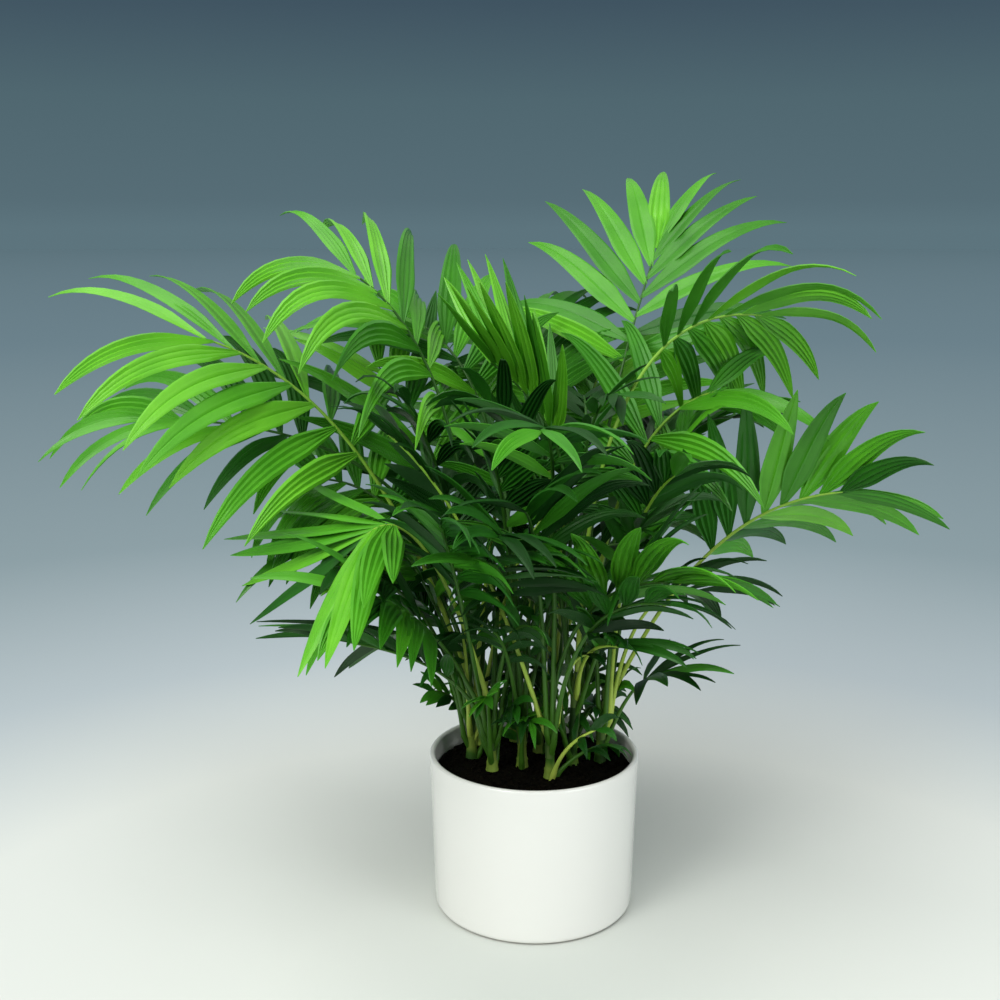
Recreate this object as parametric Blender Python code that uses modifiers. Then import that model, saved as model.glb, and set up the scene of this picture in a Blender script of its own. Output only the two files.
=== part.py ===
"""Parlour palm in a white glazed pot: a clump of thin canes with feathered fronds, in metres, +Z up.

The origin is the middle of the pot's flat underside. +X is to the right and -Y towards the viewer.
"""

import math
import random
from dataclasses import dataclass, replace

import bmesh
import bpy
import numpy as np
from mathutils import Matrix, Vector
from mathutils.bvhtree import BVHTree

# Pot: a cylinder that narrows a little to its foot, with a rounded lip
POT_RADIUS = 0.070
POT_FOOT_RADIUS = 0.067
POT_HEIGHT = 0.107
POT_WALL = 0.0036
POT_FLOOR = 0.006
FOOT_ROUNDING = 0.004
ROUND_SIDES = 40

# Soil: fills the pot from its floor to a little under the lip
SOIL_TOP = 0.094
SOIL_CROWN = 0.003

# Touching pieces keep a seat gap, and pieces that pass each other in the crown a clearance on each side
SEAT_GAP = 0.0003
CLEARANCE = 0.0003

# Stems: short canes with a flared foot, which lean away from the middle of the clump
STEM_RADIUS_FOOT = 0.0044
STEM_RADIUS_LOW = 0.0031
STEM_RADIUS_TIP = 0.0025
STEM_FLARE_HEIGHT = 0.012
STEM_SPLAY = 0.12
CLUMP_CENTRE = (0.002, 0.010)

# Ribs: the stalk and midrib of a frond, in one tapering limb
RIB_RADIUS_FOOT = 0.0017
RIB_RADIUS_TIP = 0.0007
RIB_POINTS = 7

# Leaflets: each is a strip in twelve steps, and its solid has sections at a few of them
SPINE_STEPS = 12
BLADE_STATIONS = (0, 3, 7)
SMALL_BLADE_STATIONS = (0, 4)
SMALL_LEAFLET = 0.090
BLADE_THICKNESS = 0.0014
BLADE_ROOT = 0.0004
PAIR_STAGGER = 0.3
SPREAD_JITTER = 4.0
LIFT_JITTER = 7.0
LENGTH_JITTER = 0.07
HANG_POWER = 2.0
HANG_JITTER = 0.25
SICKLE_JITTER = 0.4
TWIST_JITTER = 0.35

# What is tried, in this order, to keep a piece clear of those that stand already
RIB_TURNS = (0, 4, -4, 8, -8, 12, -12, 16, -16, 20, -20, 25, -25, 30, -30, 36, -36, 42, -42)
LEAFLET_TRIES = (
    (1.0, 0), (1.0, 5), (1.0, -5), (1.0, 10), (1.0, -10), (1.0, 15), (1.0, -15),
    (0.85, 0), (0.85, 8), (0.85, -8), (0.7, 0), (0.7, 8), (0.7, -8), (0.55, 0), (0.55, 8), (0.55, -8),
)

# How far apart two fronds leave the same stem, and how much a busy stem is passed over for the next
FIRST_LEAVES_AT = 1.0
LEAVES_STEP = 0.15
LOWEST_LEAVES_AT = 0.25
BUSY_STEM_PENALTY = 0.011

WELD = 0.0000001
WORLD_UP = Vector((0.0, 0.0, 1.0))


@dataclass(frozen=True)
class Stem:
    """One cane of the clump: where it stands on the soil and how tall it is."""

    name: str
    x: float
    y: float
    height: float


@dataclass(frozen=True)
class Frond:
    """One feathered leaf, from the stem that carries it to its furthest leaflet.

    The rib leaves its stem, climbs past a knee and arches over to its tip. Compass angles are in degrees,
    0 along +X and 90 along +Y. Spread is the leaflets' angle to the rib, at the bottom and at the tip.
    """

    name: str
    stem: str
    leaves_at: float
    seed: int
    compass: float
    swing: float
    reach: float
    rise: float
    knee_out: float
    knee_up: float
    roll: float
    bare: float
    pairs: int
    leaf: float
    width: float
    spread: tuple
    lift: float
    hang: float
    sickle: float


@dataclass(frozen=True)
class Place:
    """Where a frond of a ring points, how far it reaches and rises, and the seed of its other sizes."""

    compass: float
    reach: float
    rise: float
    seed: int


@dataclass(frozen=True)
class Ring:
    """A level of the crown: the ranges that its fronds' sizes are drawn from, and their places."""

    name: str
    width: float
    knee_out: tuple
    knee_up: tuple
    swing: tuple
    roll: tuple
    bare: tuple
    pairs: tuple
    leaf: tuple
    spread_low: tuple
    spread_tip: tuple
    lift: tuple
    hang: tuple
    sickle: tuple
    places: tuple


@dataclass(frozen=True)
class Leaflet:
    """One blade of a frond: a tapering strip that bends under its own weight."""

    root: Vector
    aim: Vector
    along: Vector
    normal: Vector
    length: float
    width: float
    hang: float
    sickle: float
    twist: float


STEMS = (
    Stem("stem_left_front", -0.042, 0.010, 0.062),
    Stem("stem_left_back", -0.036, 0.034, 0.072),
    Stem("stem_left_low", -0.028, -0.012, 0.048),
    Stem("stem_middle_left", -0.012, 0.040, 0.080),
    Stem("stem_middle", 0.004, 0.020, 0.076),
    Stem("stem_middle_back", 0.014, 0.050, 0.084),
    Stem("stem_middle_front", -0.008, -0.006, 0.056),
    Stem("stem_right_back", 0.030, 0.030, 0.076),
    Stem("stem_right_low", 0.045, 0.004, 0.052),
    Stem("stem_right", 0.026, -0.002, 0.066),
    Stem("stem_right_front", 0.010, -0.024, 0.046),
)

# The large fronds that give the crown its outline
OUTER_FRONDS = (
    Frond(
        name="frond_left_far", stem="stem_left_front", leaves_at=1.0, seed=1,
        compass=150, swing=32, reach=0.165, rise=0.222, knee_out=0.46, knee_up=0.185,
        roll=-14, bare=0.48, pairs=7, leaf=0.150, width=0.016, spread=(80, 34),
        lift=-5, hang=0.44, sickle=0.00,
    ),
    Frond(
        name="frond_left_drop", stem="stem_left_back", leaves_at=0.7, seed=3,
        compass=160, swing=22, reach=0.212, rise=0.179, knee_out=0.05, knee_up=0.180,
        roll=-28, bare=0.70, pairs=7, leaf=0.105, width=0.014, spread=(79, 9),
        lift=21, hang=0.87, sickle=0.17,
    ),
    Frond(
        name="frond_left_up", stem="stem_left_back", leaves_at=1.0, seed=2,
        compass=211, swing=-35, reach=0.079, rise=0.252, knee_out=0.02, knee_up=0.203,
        roll=-26, bare=0.51, pairs=7, leaf=0.121, width=0.015, spread=(75, 31),
        lift=2, hang=0.75, sickle=-0.02,
    ),
    Frond(
        name="frond_right_top", stem="stem_right_back", leaves_at=1.0, seed=1,
        compass=71, swing=-5, reach=0.156, rise=0.267, knee_out=0.09, knee_up=0.135,
        roll=5, bare=0.69, pairs=7, leaf=0.129, width=0.017, spread=(78, 13),
        lift=14, hang=0.51, sickle=0.13,
    ),
    Frond(
        name="frond_right_arch", stem="stem_right", leaves_at=1.0, seed=3,
        compass=-1, swing=19, reach=0.127, rise=0.231, knee_out=0.02, knee_up=0.248,
        roll=-38, bare=0.65, pairs=7, leaf=0.109, width=0.014, spread=(80, 24),
        lift=-2, hang=0.58, sickle=-0.05,
    ),
    Frond(
        name="frond_right_low", stem="stem_right_low", leaves_at=0.85, seed=3,
        compass=33, swing=-35, reach=0.148, rise=0.142, knee_out=0.53, knee_up=0.126,
        roll=-58, bare=0.47, pairs=8, leaf=0.100, width=0.016, spread=(65, 28),
        lift=20, hang=0.37, sickle=-0.05,
    ),
    Frond(
        name="frond_right_small", stem="stem_right_low", leaves_at=0.3, seed=2,
        compass=20, swing=-35, reach=0.033, rise=0.047, knee_out=0.51, knee_up=0.041,
        roll=-9, bare=0.74, pairs=4, leaf=0.064, width=0.010, spread=(72, 9),
        lift=9, hang=0.29, sickle=0.02,
    ),
    Frond(
        name="frond_left_low", stem="stem_left_low", leaves_at=1.0, seed=4,
        compass=215, swing=-6, reach=0.088, rise=0.118, knee_out=0.57, knee_up=0.159,
        roll=-4, bare=0.73, pairs=6, leaf=0.130, width=0.015, spread=(71, 33),
        lift=-3, hang=0.01, sickle=-0.05,
    ),
    Frond(
        name="frond_left_small", stem="stem_left_front", leaves_at=0.25, seed=3,
        compass=190, swing=-25, reach=0.055, rise=0.067, knee_out=0.18, knee_up=0.083,
        roll=30, bare=0.66, pairs=5, leaf=0.110, width=0.011, spread=(80, 28),
        lift=1, hang=0.08, sickle=-0.05,
    ),
    Frond(
        name="frond_left_mid", stem="stem_left_front", leaves_at=0.75, seed=1,
        compass=141, swing=20, reach=0.102, rise=0.140, knee_out=0.25, knee_up=0.139,
        roll=-37, bare=0.53, pairs=6, leaf=0.096, width=0.014, spread=(79, 43),
        lift=7, hang=1.02, sickle=-0.05,
    ),
    Frond(
        name="frond_middle_fan", stem="stem_middle", leaves_at=1.0, seed=2,
        compass=198, swing=-35, reach=0.035, rise=0.190, knee_out=-1.47, knee_up=0.132,
        roll=2, bare=0.64, pairs=8, leaf=0.095, width=0.013, spread=(40, 40),
        lift=36, hang=0.00, sickle=0.16,
    ),
)

# The fronds that fill the crown from all sides, level by level
RINGS = (
    Ring(
        name="high", width=0.0145,
        knee_out=(0.02, 0.25), knee_up=(0.6, 0.95), swing=(-25, 25), roll=(-35, 35), bare=(0.5, 0.66),
        pairs=(6, 7), leaf=(0.095, 0.128), spread_low=(58, 74), spread_tip=(20, 38),
        lift=(0, 22), hang=(0.15, 0.55), sickle=(0.0, 0.12),
        places=(
            Place(109, 0.108, 0.199, 18),
            Place(64, 0.105, 0.186, 73),
            Place(123, 0.101, 0.209, 1),
            Place(18, 0.083, 0.183, 24),
            Place(152, 0.103, 0.206, 86),
        ),
    ),
    Ring(
        name="mid", width=0.0135,
        knee_out=(0.05, 0.35), knee_up=(0.7, 1.15), swing=(-25, 25), roll=(-35, 35), bare=(0.46, 0.62),
        pairs=(6, 7), leaf=(0.085, 0.118), spread_low=(58, 74), spread_tip=(20, 38),
        lift=(0, 22), hang=(0.2, 0.6), sickle=(0.0, 0.12),
        places=(
            Place(305, 0.088, 0.100, 44),
            Place(89, 0.159, 0.145, 52),
            Place(59, 0.158, 0.152, 58),
            Place(127, 0.150, 0.115, 53),
            Place(50, 0.135, 0.165, 50),
            Place(160, 0.092, 0.114, 39),
            Place(200, 0.100, 0.100, 62),
        ),
    ),
    Ring(
        name="front", width=0.0115,
        knee_out=(0.02, 0.3), knee_up=(0.65, 1.05), swing=(-25, 25), roll=(-35, 35), bare=(0.46, 0.62),
        pairs=(6, 7), leaf=(0.062, 0.088), spread_low=(58, 74), spread_tip=(20, 38),
        lift=(0, 22), hang=(0.3, 0.8), sickle=(0.0, 0.12),
        places=(
            Place(279, 0.119, 0.209, 76),
            Place(254, 0.112, 0.127, 12),
            Place(268, 0.062, 0.160, 34),
            Place(204, 0.111, 0.159, 62),
            Place(336, 0.060, 0.170, 79),
            Place(258, 0.086, 0.116, 47),
        ),
    ),
    Ring(
        name="low", width=0.0105,
        knee_out=(0.1, 0.4), knee_up=(0.7, 1.2), swing=(-25, 25), roll=(-35, 35), bare=(0.46, 0.62),
        pairs=(5, 6), leaf=(0.052, 0.082), spread_low=(58, 74), spread_tip=(20, 38),
        lift=(0, 22), hang=(0.2, 0.6), sickle=(0.0, 0.12),
        places=(
            Place(276, 0.058, 0.045, 29),
            Place(284, 0.099, 0.115, 44),
            Place(317, 0.076, 0.111, 22),
            Place(348, 0.064, 0.085, 59),
            Place(67, 0.116, 0.083, 15),
            Place(116, 0.119, 0.055, 5),
            Place(139, 0.116, 0.097, 39),
            Place(197, 0.095, 0.116, 50),
            Place(214, 0.088, 0.067, 31),
        ),
    ),
    Ring(
        name="core", width=0.0105,
        knee_out=(0.02, 0.3), knee_up=(0.6, 0.95), swing=(-25, 25), roll=(-35, 35), bare=(0.42, 0.58),
        pairs=(5, 6), leaf=(0.052, 0.08), spread_low=(58, 74), spread_tip=(20, 38),
        lift=(0, 22), hang=(0.15, 0.5), sickle=(0.0, 0.12),
        places=(
            Place(22, 0.037, 0.152, 37),
            Place(107, 0.056, 0.153, 71),
            Place(158, 0.027, 0.163, 81),
            Place(247, 0.033, 0.176, 17),
            Place(68, 0.045, 0.170, 85),
        ),
    ),
)


def heading(compass):
    """A level unit vector at a compass angle."""
    angle = math.radians(compass)
    return Vector((math.cos(angle), math.sin(angle), 0.0))


def blend(low, high, share):
    """The value a share of the way from low to high."""
    return low + (high - low) * share


def stem_point(stem, share):
    """A point on a stem's axis, at a share of its height. A stem splays outwards from the clump."""
    outward = Vector((stem.x - CLUMP_CENTRE[0], stem.y - CLUMP_CENTRE[1], 0.0))
    splay = STEM_SPLAY * stem.height * outward.length / POT_RADIUS
    foot = Vector((stem.x, stem.y, SOIL_TOP + SOIL_CROWN + SEAT_GAP))
    return foot + WORLD_UP * (stem.height * share) + outward.normalized() * (splay * share * share)


def stem_radius(share):
    """A stem's radius above its flared foot, at a share of its height."""
    return blend(STEM_RADIUS_LOW, STEM_RADIUS_TIP, share)


def next_stem(compass, loads):
    """The stem for a frond of a ring: the one furthest out on its side, unless that carries many already."""
    out = heading(compass)

    def suits(stem):
        side = out.x * (stem.x - CLUMP_CENTRE[0]) + out.y * (stem.y - CLUMP_CENTRE[1])
        return side - BUSY_STEM_PENALTY * loads[stem.name]

    return max(STEMS, key=suits)


def all_fronds():
    """The outer fronds, and then the rings from the top of the crown down to its core."""
    fronds = list(OUTER_FRONDS)
    loads = {stem.name: 0 for stem in STEMS}
    for frond in fronds:
        loads[frond.stem] += 1
    for ring in RINGS:
        for number, spot in enumerate(ring.places, start=1):
            stem = next_stem(spot.compass, loads)
            leaves_at = max(LOWEST_LEAVES_AT, FIRST_LEAVES_AT - LEAVES_STEP * loads[stem.name])
            loads[stem.name] += 1
            rng = random.Random(spot.seed)
            fronds.append(Frond(
                name=f"frond_{ring.name}_{number}",
                stem=stem.name,
                leaves_at=leaves_at,
                seed=spot.seed,
                compass=spot.compass,
                reach=spot.reach,
                rise=spot.rise,
                knee_out=rng.uniform(*ring.knee_out),
                knee_up=spot.rise * rng.uniform(*ring.knee_up),
                swing=rng.uniform(*ring.swing),
                roll=rng.uniform(*ring.roll),
                bare=rng.uniform(*ring.bare),
                pairs=rng.randint(*ring.pairs),
                leaf=rng.uniform(*ring.leaf),
                width=ring.width,
                spread=(rng.uniform(*ring.spread_low), rng.uniform(*ring.spread_tip)),
                lift=rng.uniform(*ring.lift),
                hang=rng.uniform(*ring.hang),
                sickle=rng.uniform(*ring.sickle),
            ))
    return fronds


class Rib:
    """The line of a frond's stalk and midrib, and the frame that its leaflets stand in."""

    def __init__(self, frond):
        stem = next(stem for stem in STEMS if stem.name == frond.stem)
        out = heading(frond.compass)
        self.frond = frond
        self.foot = stem_point(stem, frond.leaves_at)
        if frond.leaves_at < 1.0:
            self.foot += out * (stem_radius(frond.leaves_at) + RIB_RADIUS_FOOT + 2 * SEAT_GAP)
        else:
            # A leaning stalk sits a little higher, so that its edge clears the stem's flat tip
            slant = math.hypot(frond.reach * frond.knee_out, frond.knee_up)
            tilt = abs(frond.reach * frond.knee_out) / slant
            self.foot += WORLD_UP * (2 * SEAT_GAP + (RIB_RADIUS_FOOT + CLEARANCE) * tilt)
        self.knee = self.foot + out * (frond.reach * frond.knee_out) + WORLD_UP * frond.knee_up
        self.tip = self.foot + heading(frond.compass + frond.swing) * frond.reach + WORLD_UP * frond.rise

    def point(self, share):
        """A point on the rib: a quadratic arc from foot to tip that bends towards the knee."""
        rest = 1.0 - share
        return self.foot * (rest * rest) + self.knee * (2.0 * share * rest) + self.tip * (share * share)

    def along(self, share):
        """The rib's direction at a share of its length."""
        step = (self.knee - self.foot) * (1.0 - share) + (self.tip - self.knee) * share
        return step.normalized()

    def frame(self, share):
        """The directions along the rib, to its left and out of the frond's upper face."""
        along = self.along(share)
        left = heading(self.frond.compass + self.frond.swing * share + 90.0)
        left = (left - along * left.dot(along)).normalized()
        up = along.cross(left)
        turn = Matrix.Rotation(math.radians(self.frond.roll), 3, along)
        return along, turn @ left, turn @ up

    def radius(self, share):
        """The rib's radius at a share of its length."""
        return blend(RIB_RADIUS_FOOT, RIB_RADIUS_TIP, share)


def leaflets_of(rib):
    """The leaflets of a frond, in pairs that alternate a little, from the bottom of the blade to its tip."""
    frond = rib.frond
    rng = random.Random(frond.seed)
    leaflets = []
    for pair in range(frond.pairs):
        for side in (1.0, -1.0):
            jitter = [rng.uniform(-1.0, 1.0) for _ in range(6)]
            stagger = PAIR_STAGGER if side < 0.0 else 0.0
            place = min(1.0, (pair + stagger) / (frond.pairs - 1.0 + PAIR_STAGGER))
            share = frond.bare + (1.0 - frond.bare) * place * 0.99
            along, left, up = rib.frame(share)
            spread = math.radians(blend(frond.spread[0], frond.spread[1], place) + SPREAD_JITTER * jitter[0])
            lift = math.radians(frond.lift + LIFT_JITTER * jitter[1])
            outward = left * (side * math.cos(lift)) + up * math.sin(lift)
            aim = (along * math.cos(spread) + outward * math.sin(spread)).normalized()
            size = 0.62 + 0.38 * math.sin(math.pi * (0.18 + 0.72 * place))
            level = math.hypot(aim.x, aim.y)
            leaflets.append(Leaflet(
                root=rib.point(share),
                aim=aim,
                along=along,
                normal=(up * math.cos(lift) - left * (side * math.sin(lift))).normalized(),
                length=frond.leaf * size * (1.0 + LENGTH_JITTER * jitter[2]),
                width=frond.width * (0.85 + 0.15 * math.sin(math.pi * place)),
                hang=frond.hang * (1.0 + HANG_JITTER * jitter[3]) * (0.25 + 0.75 * level),
                sickle=frond.sickle * (1.0 + SICKLE_JITTER * jitter[4]),
                twist=TWIST_JITTER * jitter[5],
            ))
    return leaflets


def leaflet_direction(leaflet, share):
    """The direction of a leaflet's midline: it curves towards the frond's tip and sinks under its weight."""
    curl = leaflet.along * (2.0 * leaflet.sickle * share)
    sink = WORLD_UP * (2.0 * leaflet.hang * share ** HANG_POWER)
    return (leaflet.aim + curl - sink).normalized()


def leaflet_half_width(leaflet, share):
    """Half the blade's width at a share of its length: narrow root, full middle, drawn-out point."""
    return 0.5 * leaflet.width * min(1.0, 0.16 + 3.0 * share) * max(0.0, 1.0 - share ** 2.4) ** 0.85


def leaflet_sections(leaflet):
    """Centre, cross direction and face direction of the blade, at each step of its length."""
    sections = []
    centre = leaflet.root.copy()
    for step in range(SPINE_STEPS + 1):
        share = step / SPINE_STEPS
        along = leaflet_direction(leaflet, share)
        across = leaflet.normal.cross(along).normalized()
        face = along.cross(across)
        turn = leaflet.twist * share
        sections.append((
            centre.copy(),
            across * math.cos(turn) + face * math.sin(turn),
            face * math.cos(turn) - across * math.sin(turn),
        ))
        centre += leaflet_direction(leaflet, share + 0.5 / SPINE_STEPS) * (leaflet.length / SPINE_STEPS)
    return sections


def blade_mesh(leaflet, spare=0.0):
    """Corners and triangles of a closed three-sided blade with a keel, its faces grown outwards by spare."""
    sections = leaflet_sections(leaflet)
    stations = BLADE_STATIONS if leaflet.length > SMALL_LEAFLET else SMALL_BLADE_STATIONS
    corners = []
    for station in stations:
        centre = sections[station][0]
        across, face = sections[max(station, stations[1])][1:]
        half = leaflet_half_width(leaflet, station / SPINE_STEPS) if station else BLADE_ROOT
        keel = BLADE_THICKNESS if station else BLADE_ROOT
        corners.append(centre + across * (half + 2.0 * spare) + face * spare)
        corners.append(centre - across * (half + 2.0 * spare) + face * spare)
        corners.append(centre - face * (keel + spare))
    point = sections[-1][0]
    corners.append(point + leaflet_direction(leaflet, 1.0) * spare)
    faces = [(0, 2, 1)]
    last = len(corners) - 1
    for ring in range(len(stations) - 1):
        low = 3 * ring
        for edge in range(3):
            here, there = low + edge, low + (edge + 1) % 3
            faces.append((here, there, here + 3))
            faces.append((there, there + 3, here + 3))
    low = last - 3
    for edge in range(3):
        faces.append((low + edge, low + (edge + 1) % 3, last))
    return corners, faces


def rib_hull(rib, spare):
    """Corners and triangles of a plain tube along the rib, grown by spare, for finding what it meets."""
    corners = []
    faces = []
    for step in range(RIB_POINTS):
        share = step / (RIB_POINTS - 1)
        along, left, up = rib.frame(share)
        reach = rib.radius(share) + spare
        corners += [rib.point(share) + left * reach, rib.point(share) + up * reach,
                    rib.point(share) - left * reach, rib.point(share) - up * reach]
        if step:
            low = 4 * (step - 1)
            for edge in range(4):
                here, there = low + edge, low + (edge + 1) % 4
                faces += [(here, there, here + 4), (there, there + 4, here + 4)]
    return corners, faces


class Crown:
    """What already stands in the crown, so that the next piece can be kept clear of it."""

    def __init__(self):
        self.owners = []
        self.boxes = []
        self.trees = []

    def add(self, owner, corners, faces):
        """Marks a piece's space as taken."""
        points = np.array([tuple(corner) for corner in corners])
        self.owners.append(owner)
        self.boxes.append(np.concatenate([points.min(axis=0), points.max(axis=0)]))
        self.trees.append(BVHTree.FromPolygons([tuple(corner) for corner in corners], faces))

    def add_object(self, item):
        """Marks the space of a finished object as taken."""
        evaluated = item.evaluated_get(bpy.context.evaluated_depsgraph_get())
        mesh = evaluated.to_mesh()
        corners = [item.matrix_world @ vertex.co for vertex in mesh.vertices]
        self.add(item.name, corners, [tuple(polygon.vertices) for polygon in mesh.polygons])
        evaluated.to_mesh_clear()

    def is_clear(self, owner, corners, faces):
        """Whether a piece meets nothing but the other pieces of its own frond."""
        points = np.array([tuple(corner) for corner in corners])
        low, high = points.min(axis=0), points.max(axis=0)
        boxes = np.array(self.boxes)
        near = np.all(boxes[:, :3] <= high, axis=1) & np.all(boxes[:, 3:] >= low, axis=1)
        tree = None
        for index in np.nonzero(near)[0]:
            if self.owners[index] == owner:
                continue
            if tree is None:
                tree = BVHTree.FromPolygons([tuple(corner) for corner in corners], faces)
            if tree.overlap(self.trees[index]):
                return False
        return True


def clear_rib(frond, crown):
    """The rib of a frond, turned a few degrees about its stem where its first place is taken."""
    for turn in RIB_TURNS:
        moved = replace(frond, compass=frond.compass + turn)
        rib = Rib(moved)
        corners, faces = rib_hull(rib, CLEARANCE)
        if crown.is_clear(frond.name, corners, faces):
            crown.add(frond.name, corners, faces)
            return rib
    return None


def tilted(leaflet, angle, share):
    """The leaflet raised by an angle in degrees and cut to a share of its length."""
    hinge = leaflet.normal.cross(leaflet.aim).normalized()
    turn = Matrix.Rotation(math.radians(angle), 3, hinge)
    aim, normal = turn @ leaflet.aim, turn @ leaflet.normal
    return replace(leaflet, aim=aim, normal=normal, length=leaflet.length * share)


def clear_leaflets(rib, crown):
    """A frond's leaflets, each tilted or shortened until it touches no other frond, or else left out."""
    kept = []
    for leaflet in leaflets_of(rib):
        for share, angle in LEAFLET_TRIES:
            moved = tilted(leaflet, angle, share)
            corners, faces = blade_mesh(moved, CLEARANCE)
            if crown.is_clear(rib.frond.name, corners, faces):
                crown.add(rib.frond.name, corners, faces)
                kept.append(moved)
                break
    return kept


def clear_scene():
    """Removes the objects of the scene that is open."""
    for item in list(bpy.data.objects):
        bpy.data.objects.remove(item, do_unlink=True)


def make_material(name, colour, roughness):
    """A plain surface of one colour."""
    material = bpy.data.materials.new(name)
    material.use_nodes = True
    shader = material.node_tree.nodes["Principled BSDF"]
    shader.inputs["Base Color"].default_value = (*colour, 1.0)
    shader.inputs["Roughness"].default_value = roughness
    shader.inputs["Metallic"].default_value = 0.0
    return material


def place(mesh, name, collection, material):
    """An object of its own for a mesh, with its material."""
    item = bpy.data.objects.new(name, mesh)
    item.data.materials.append(material)
    collection.objects.link(item)
    return item


def arc(centre, radius, start, end, steps):
    """Points of an arc in the profile plane, angles in degrees from +X."""
    points = []
    for step in range(steps + 1):
        angle = math.radians(start + (end - start) * step / steps)
        points.append((centre[0] + radius * math.cos(angle), centre[1] + radius * math.sin(angle)))
    return points


def turned(name, profile, collection, material):
    """A closed profile in (radius, height) turned about the Z axis, listed down its outer side."""
    mesh = bpy.data.meshes.new(name)
    edges = [(index, index + 1) for index in range(len(profile) - 1)]
    mesh.from_pydata([(radius, 0.0, height) for radius, height in profile], edges, [])
    item = place(mesh, name, collection, material)
    screw = item.modifiers.new("turn", "SCREW")
    screw.axis = "Z"
    screw.angle = math.tau
    screw.steps = ROUND_SIDES
    screw.render_steps = ROUND_SIDES
    screw.use_merge_vertices = True
    screw.merge_threshold = 0.00001
    screw.use_smooth_shade = True
    return item


def pot_inner_radius(height):
    """The radius of the pot's inner wall at a height."""
    return blend(POT_FOOT_RADIUS, POT_RADIUS, height / POT_HEIGHT) - POT_WALL


def make_pot(collection, material):
    """The pot: outer wall, rounded foot, flat underside, and the lip rounded over the wall's thickness."""
    lip = POT_WALL / 2
    foot = FOOT_ROUNDING
    profile = [(0.0, POT_FLOOR), (pot_inner_radius(POT_FLOOR), POT_FLOOR)]
    profile += arc((POT_RADIUS - lip, POT_HEIGHT - lip), lip, 180, 0, 4)
    profile += arc((POT_FOOT_RADIUS - foot, foot), foot, 0, -90, 3)
    profile.append((0.0, 0.0))
    return turned("pot", profile, collection, material)


def make_soil(collection, material):
    """The soil: one plug that fills the pot and rises a little towards the stems."""
    low = POT_FLOOR + SEAT_GAP
    edge_low = pot_inner_radius(low) - SEAT_GAP
    edge_high = pot_inner_radius(SOIL_TOP) - SEAT_GAP
    crown = SOIL_TOP + SOIL_CROWN
    profile = [(0.0, crown), (edge_high * 0.86, crown), (edge_high, SOIL_TOP), (edge_low, low), (0.0, low)]
    return turned("soil", profile, collection, material)


def tube(name, points, radii, collection, material, resolution):
    """A round limb through points, with its own radius at each and flat ends."""
    curve = bpy.data.curves.new(name, "CURVE")
    curve.dimensions = "3D"
    curve.bevel_depth = 1.0
    curve.bevel_resolution = resolution
    curve.use_fill_caps = True
    spline = curve.splines.new("POLY")
    spline.points.add(len(points) - 1)
    for target, point, radius in zip(spline.points, points, radii):
        target.co = (*point, 1.0)
        target.radius = radius
    item = bpy.data.objects.new(name, curve)
    item.data.materials.append(material)
    collection.objects.link(item)
    return item


def to_mesh(item):
    """Replaces a curve object by the mesh that it shows, its caps welded on."""
    depsgraph = bpy.context.evaluated_depsgraph_get()
    mesh = bpy.data.meshes.new_from_object(item.evaluated_get(depsgraph))
    shape = bmesh.new()
    shape.from_mesh(mesh)
    bmesh.ops.remove_doubles(shape, verts=shape.verts, dist=0.000001)
    shape.to_mesh(mesh)
    shape.free()
    solid = bpy.data.objects.new(item.name, mesh)
    solid.matrix_world = item.matrix_world
    for collection in item.users_collection:
        collection.objects.link(solid)
    name = item.name
    bpy.data.objects.remove(item, do_unlink=True)
    solid.name = name
    return solid


def make_stem(stem, collection, material):
    """One cane: a flared foot on the soil, then a slow taper to a flat tip."""
    flare = STEM_FLARE_HEIGHT / stem.height
    shares = (0.0, flare, 0.55, 1.0)
    radii = [STEM_RADIUS_FOOT, stem_radius(flare), stem_radius(0.55), stem_radius(1.0)]
    points = [stem_point(stem, share) for share in shares]
    return tube(stem.name, points, radii, collection, material, 2)


def joined(base, pieces):
    """One solid from a limb and the blades that are sunk into it; loose scraps are dropped."""
    union = base.modifiers.new("leaflets", "BOOLEAN")
    union.operation = "UNION"
    union.operand_type = "COLLECTION"
    union.collection = pieces
    union.solver = "MANIFOLD"
    depsgraph = bpy.context.evaluated_depsgraph_get()
    mesh = bpy.data.meshes.new_from_object(base.evaluated_get(depsgraph))
    base.modifiers.clear()
    base.data = mesh
    for piece in list(pieces.objects):
        bpy.data.objects.remove(piece, do_unlink=True)
    bpy.data.collections.remove(pieces)
    shape = bmesh.new()
    shape.from_mesh(mesh)
    bmesh.ops.remove_doubles(shape, verts=shape.verts, dist=WELD)
    bmesh.ops.dissolve_degenerate(shape, edges=shape.edges, dist=WELD)
    bmesh.ops.triangulate(shape, faces=shape.faces)
    drop_scraps(shape)
    shape.to_mesh(mesh)
    shape.free()


def drop_scraps(shape):
    """Deletes every part of a mesh that shares no edge with its largest part."""
    left = set(shape.faces)
    parts = []
    while left:
        part = [left.pop()]
        for face in part:
            for edge in face.edges:
                for other in edge.link_faces:
                    if other in left:
                        left.discard(other)
                        part.append(other)
        parts.append(part)
    parts.sort(key=len)
    scraps = [face for part in parts[:-1] for face in part]
    bmesh.ops.delete(shape, geom=scraps, context="FACES")


def make_frond(rib, leaflets, collection, material):
    """One frond: its rib with every leaflet fused on."""
    name = rib.frond.name
    shares = [step / (RIB_POINTS - 1) for step in range(RIB_POINTS)]
    points = [rib.point(share) for share in shares]
    radii = [rib.radius(share) for share in shares]
    limb = to_mesh(tube(name, points, radii, collection, material, 0))
    blades = bpy.data.collections.new(name + "_leaflets")
    bpy.context.scene.collection.children.link(blades)
    for leaflet in leaflets:
        corners, faces = blade_mesh(leaflet)
        mesh = bpy.data.meshes.new(name + "_leaflet")
        mesh.from_pydata(corners, [], faces)
        place(mesh, name + "_leaflet", blades, material)
    joined(limb, blades)
    return limb


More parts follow.
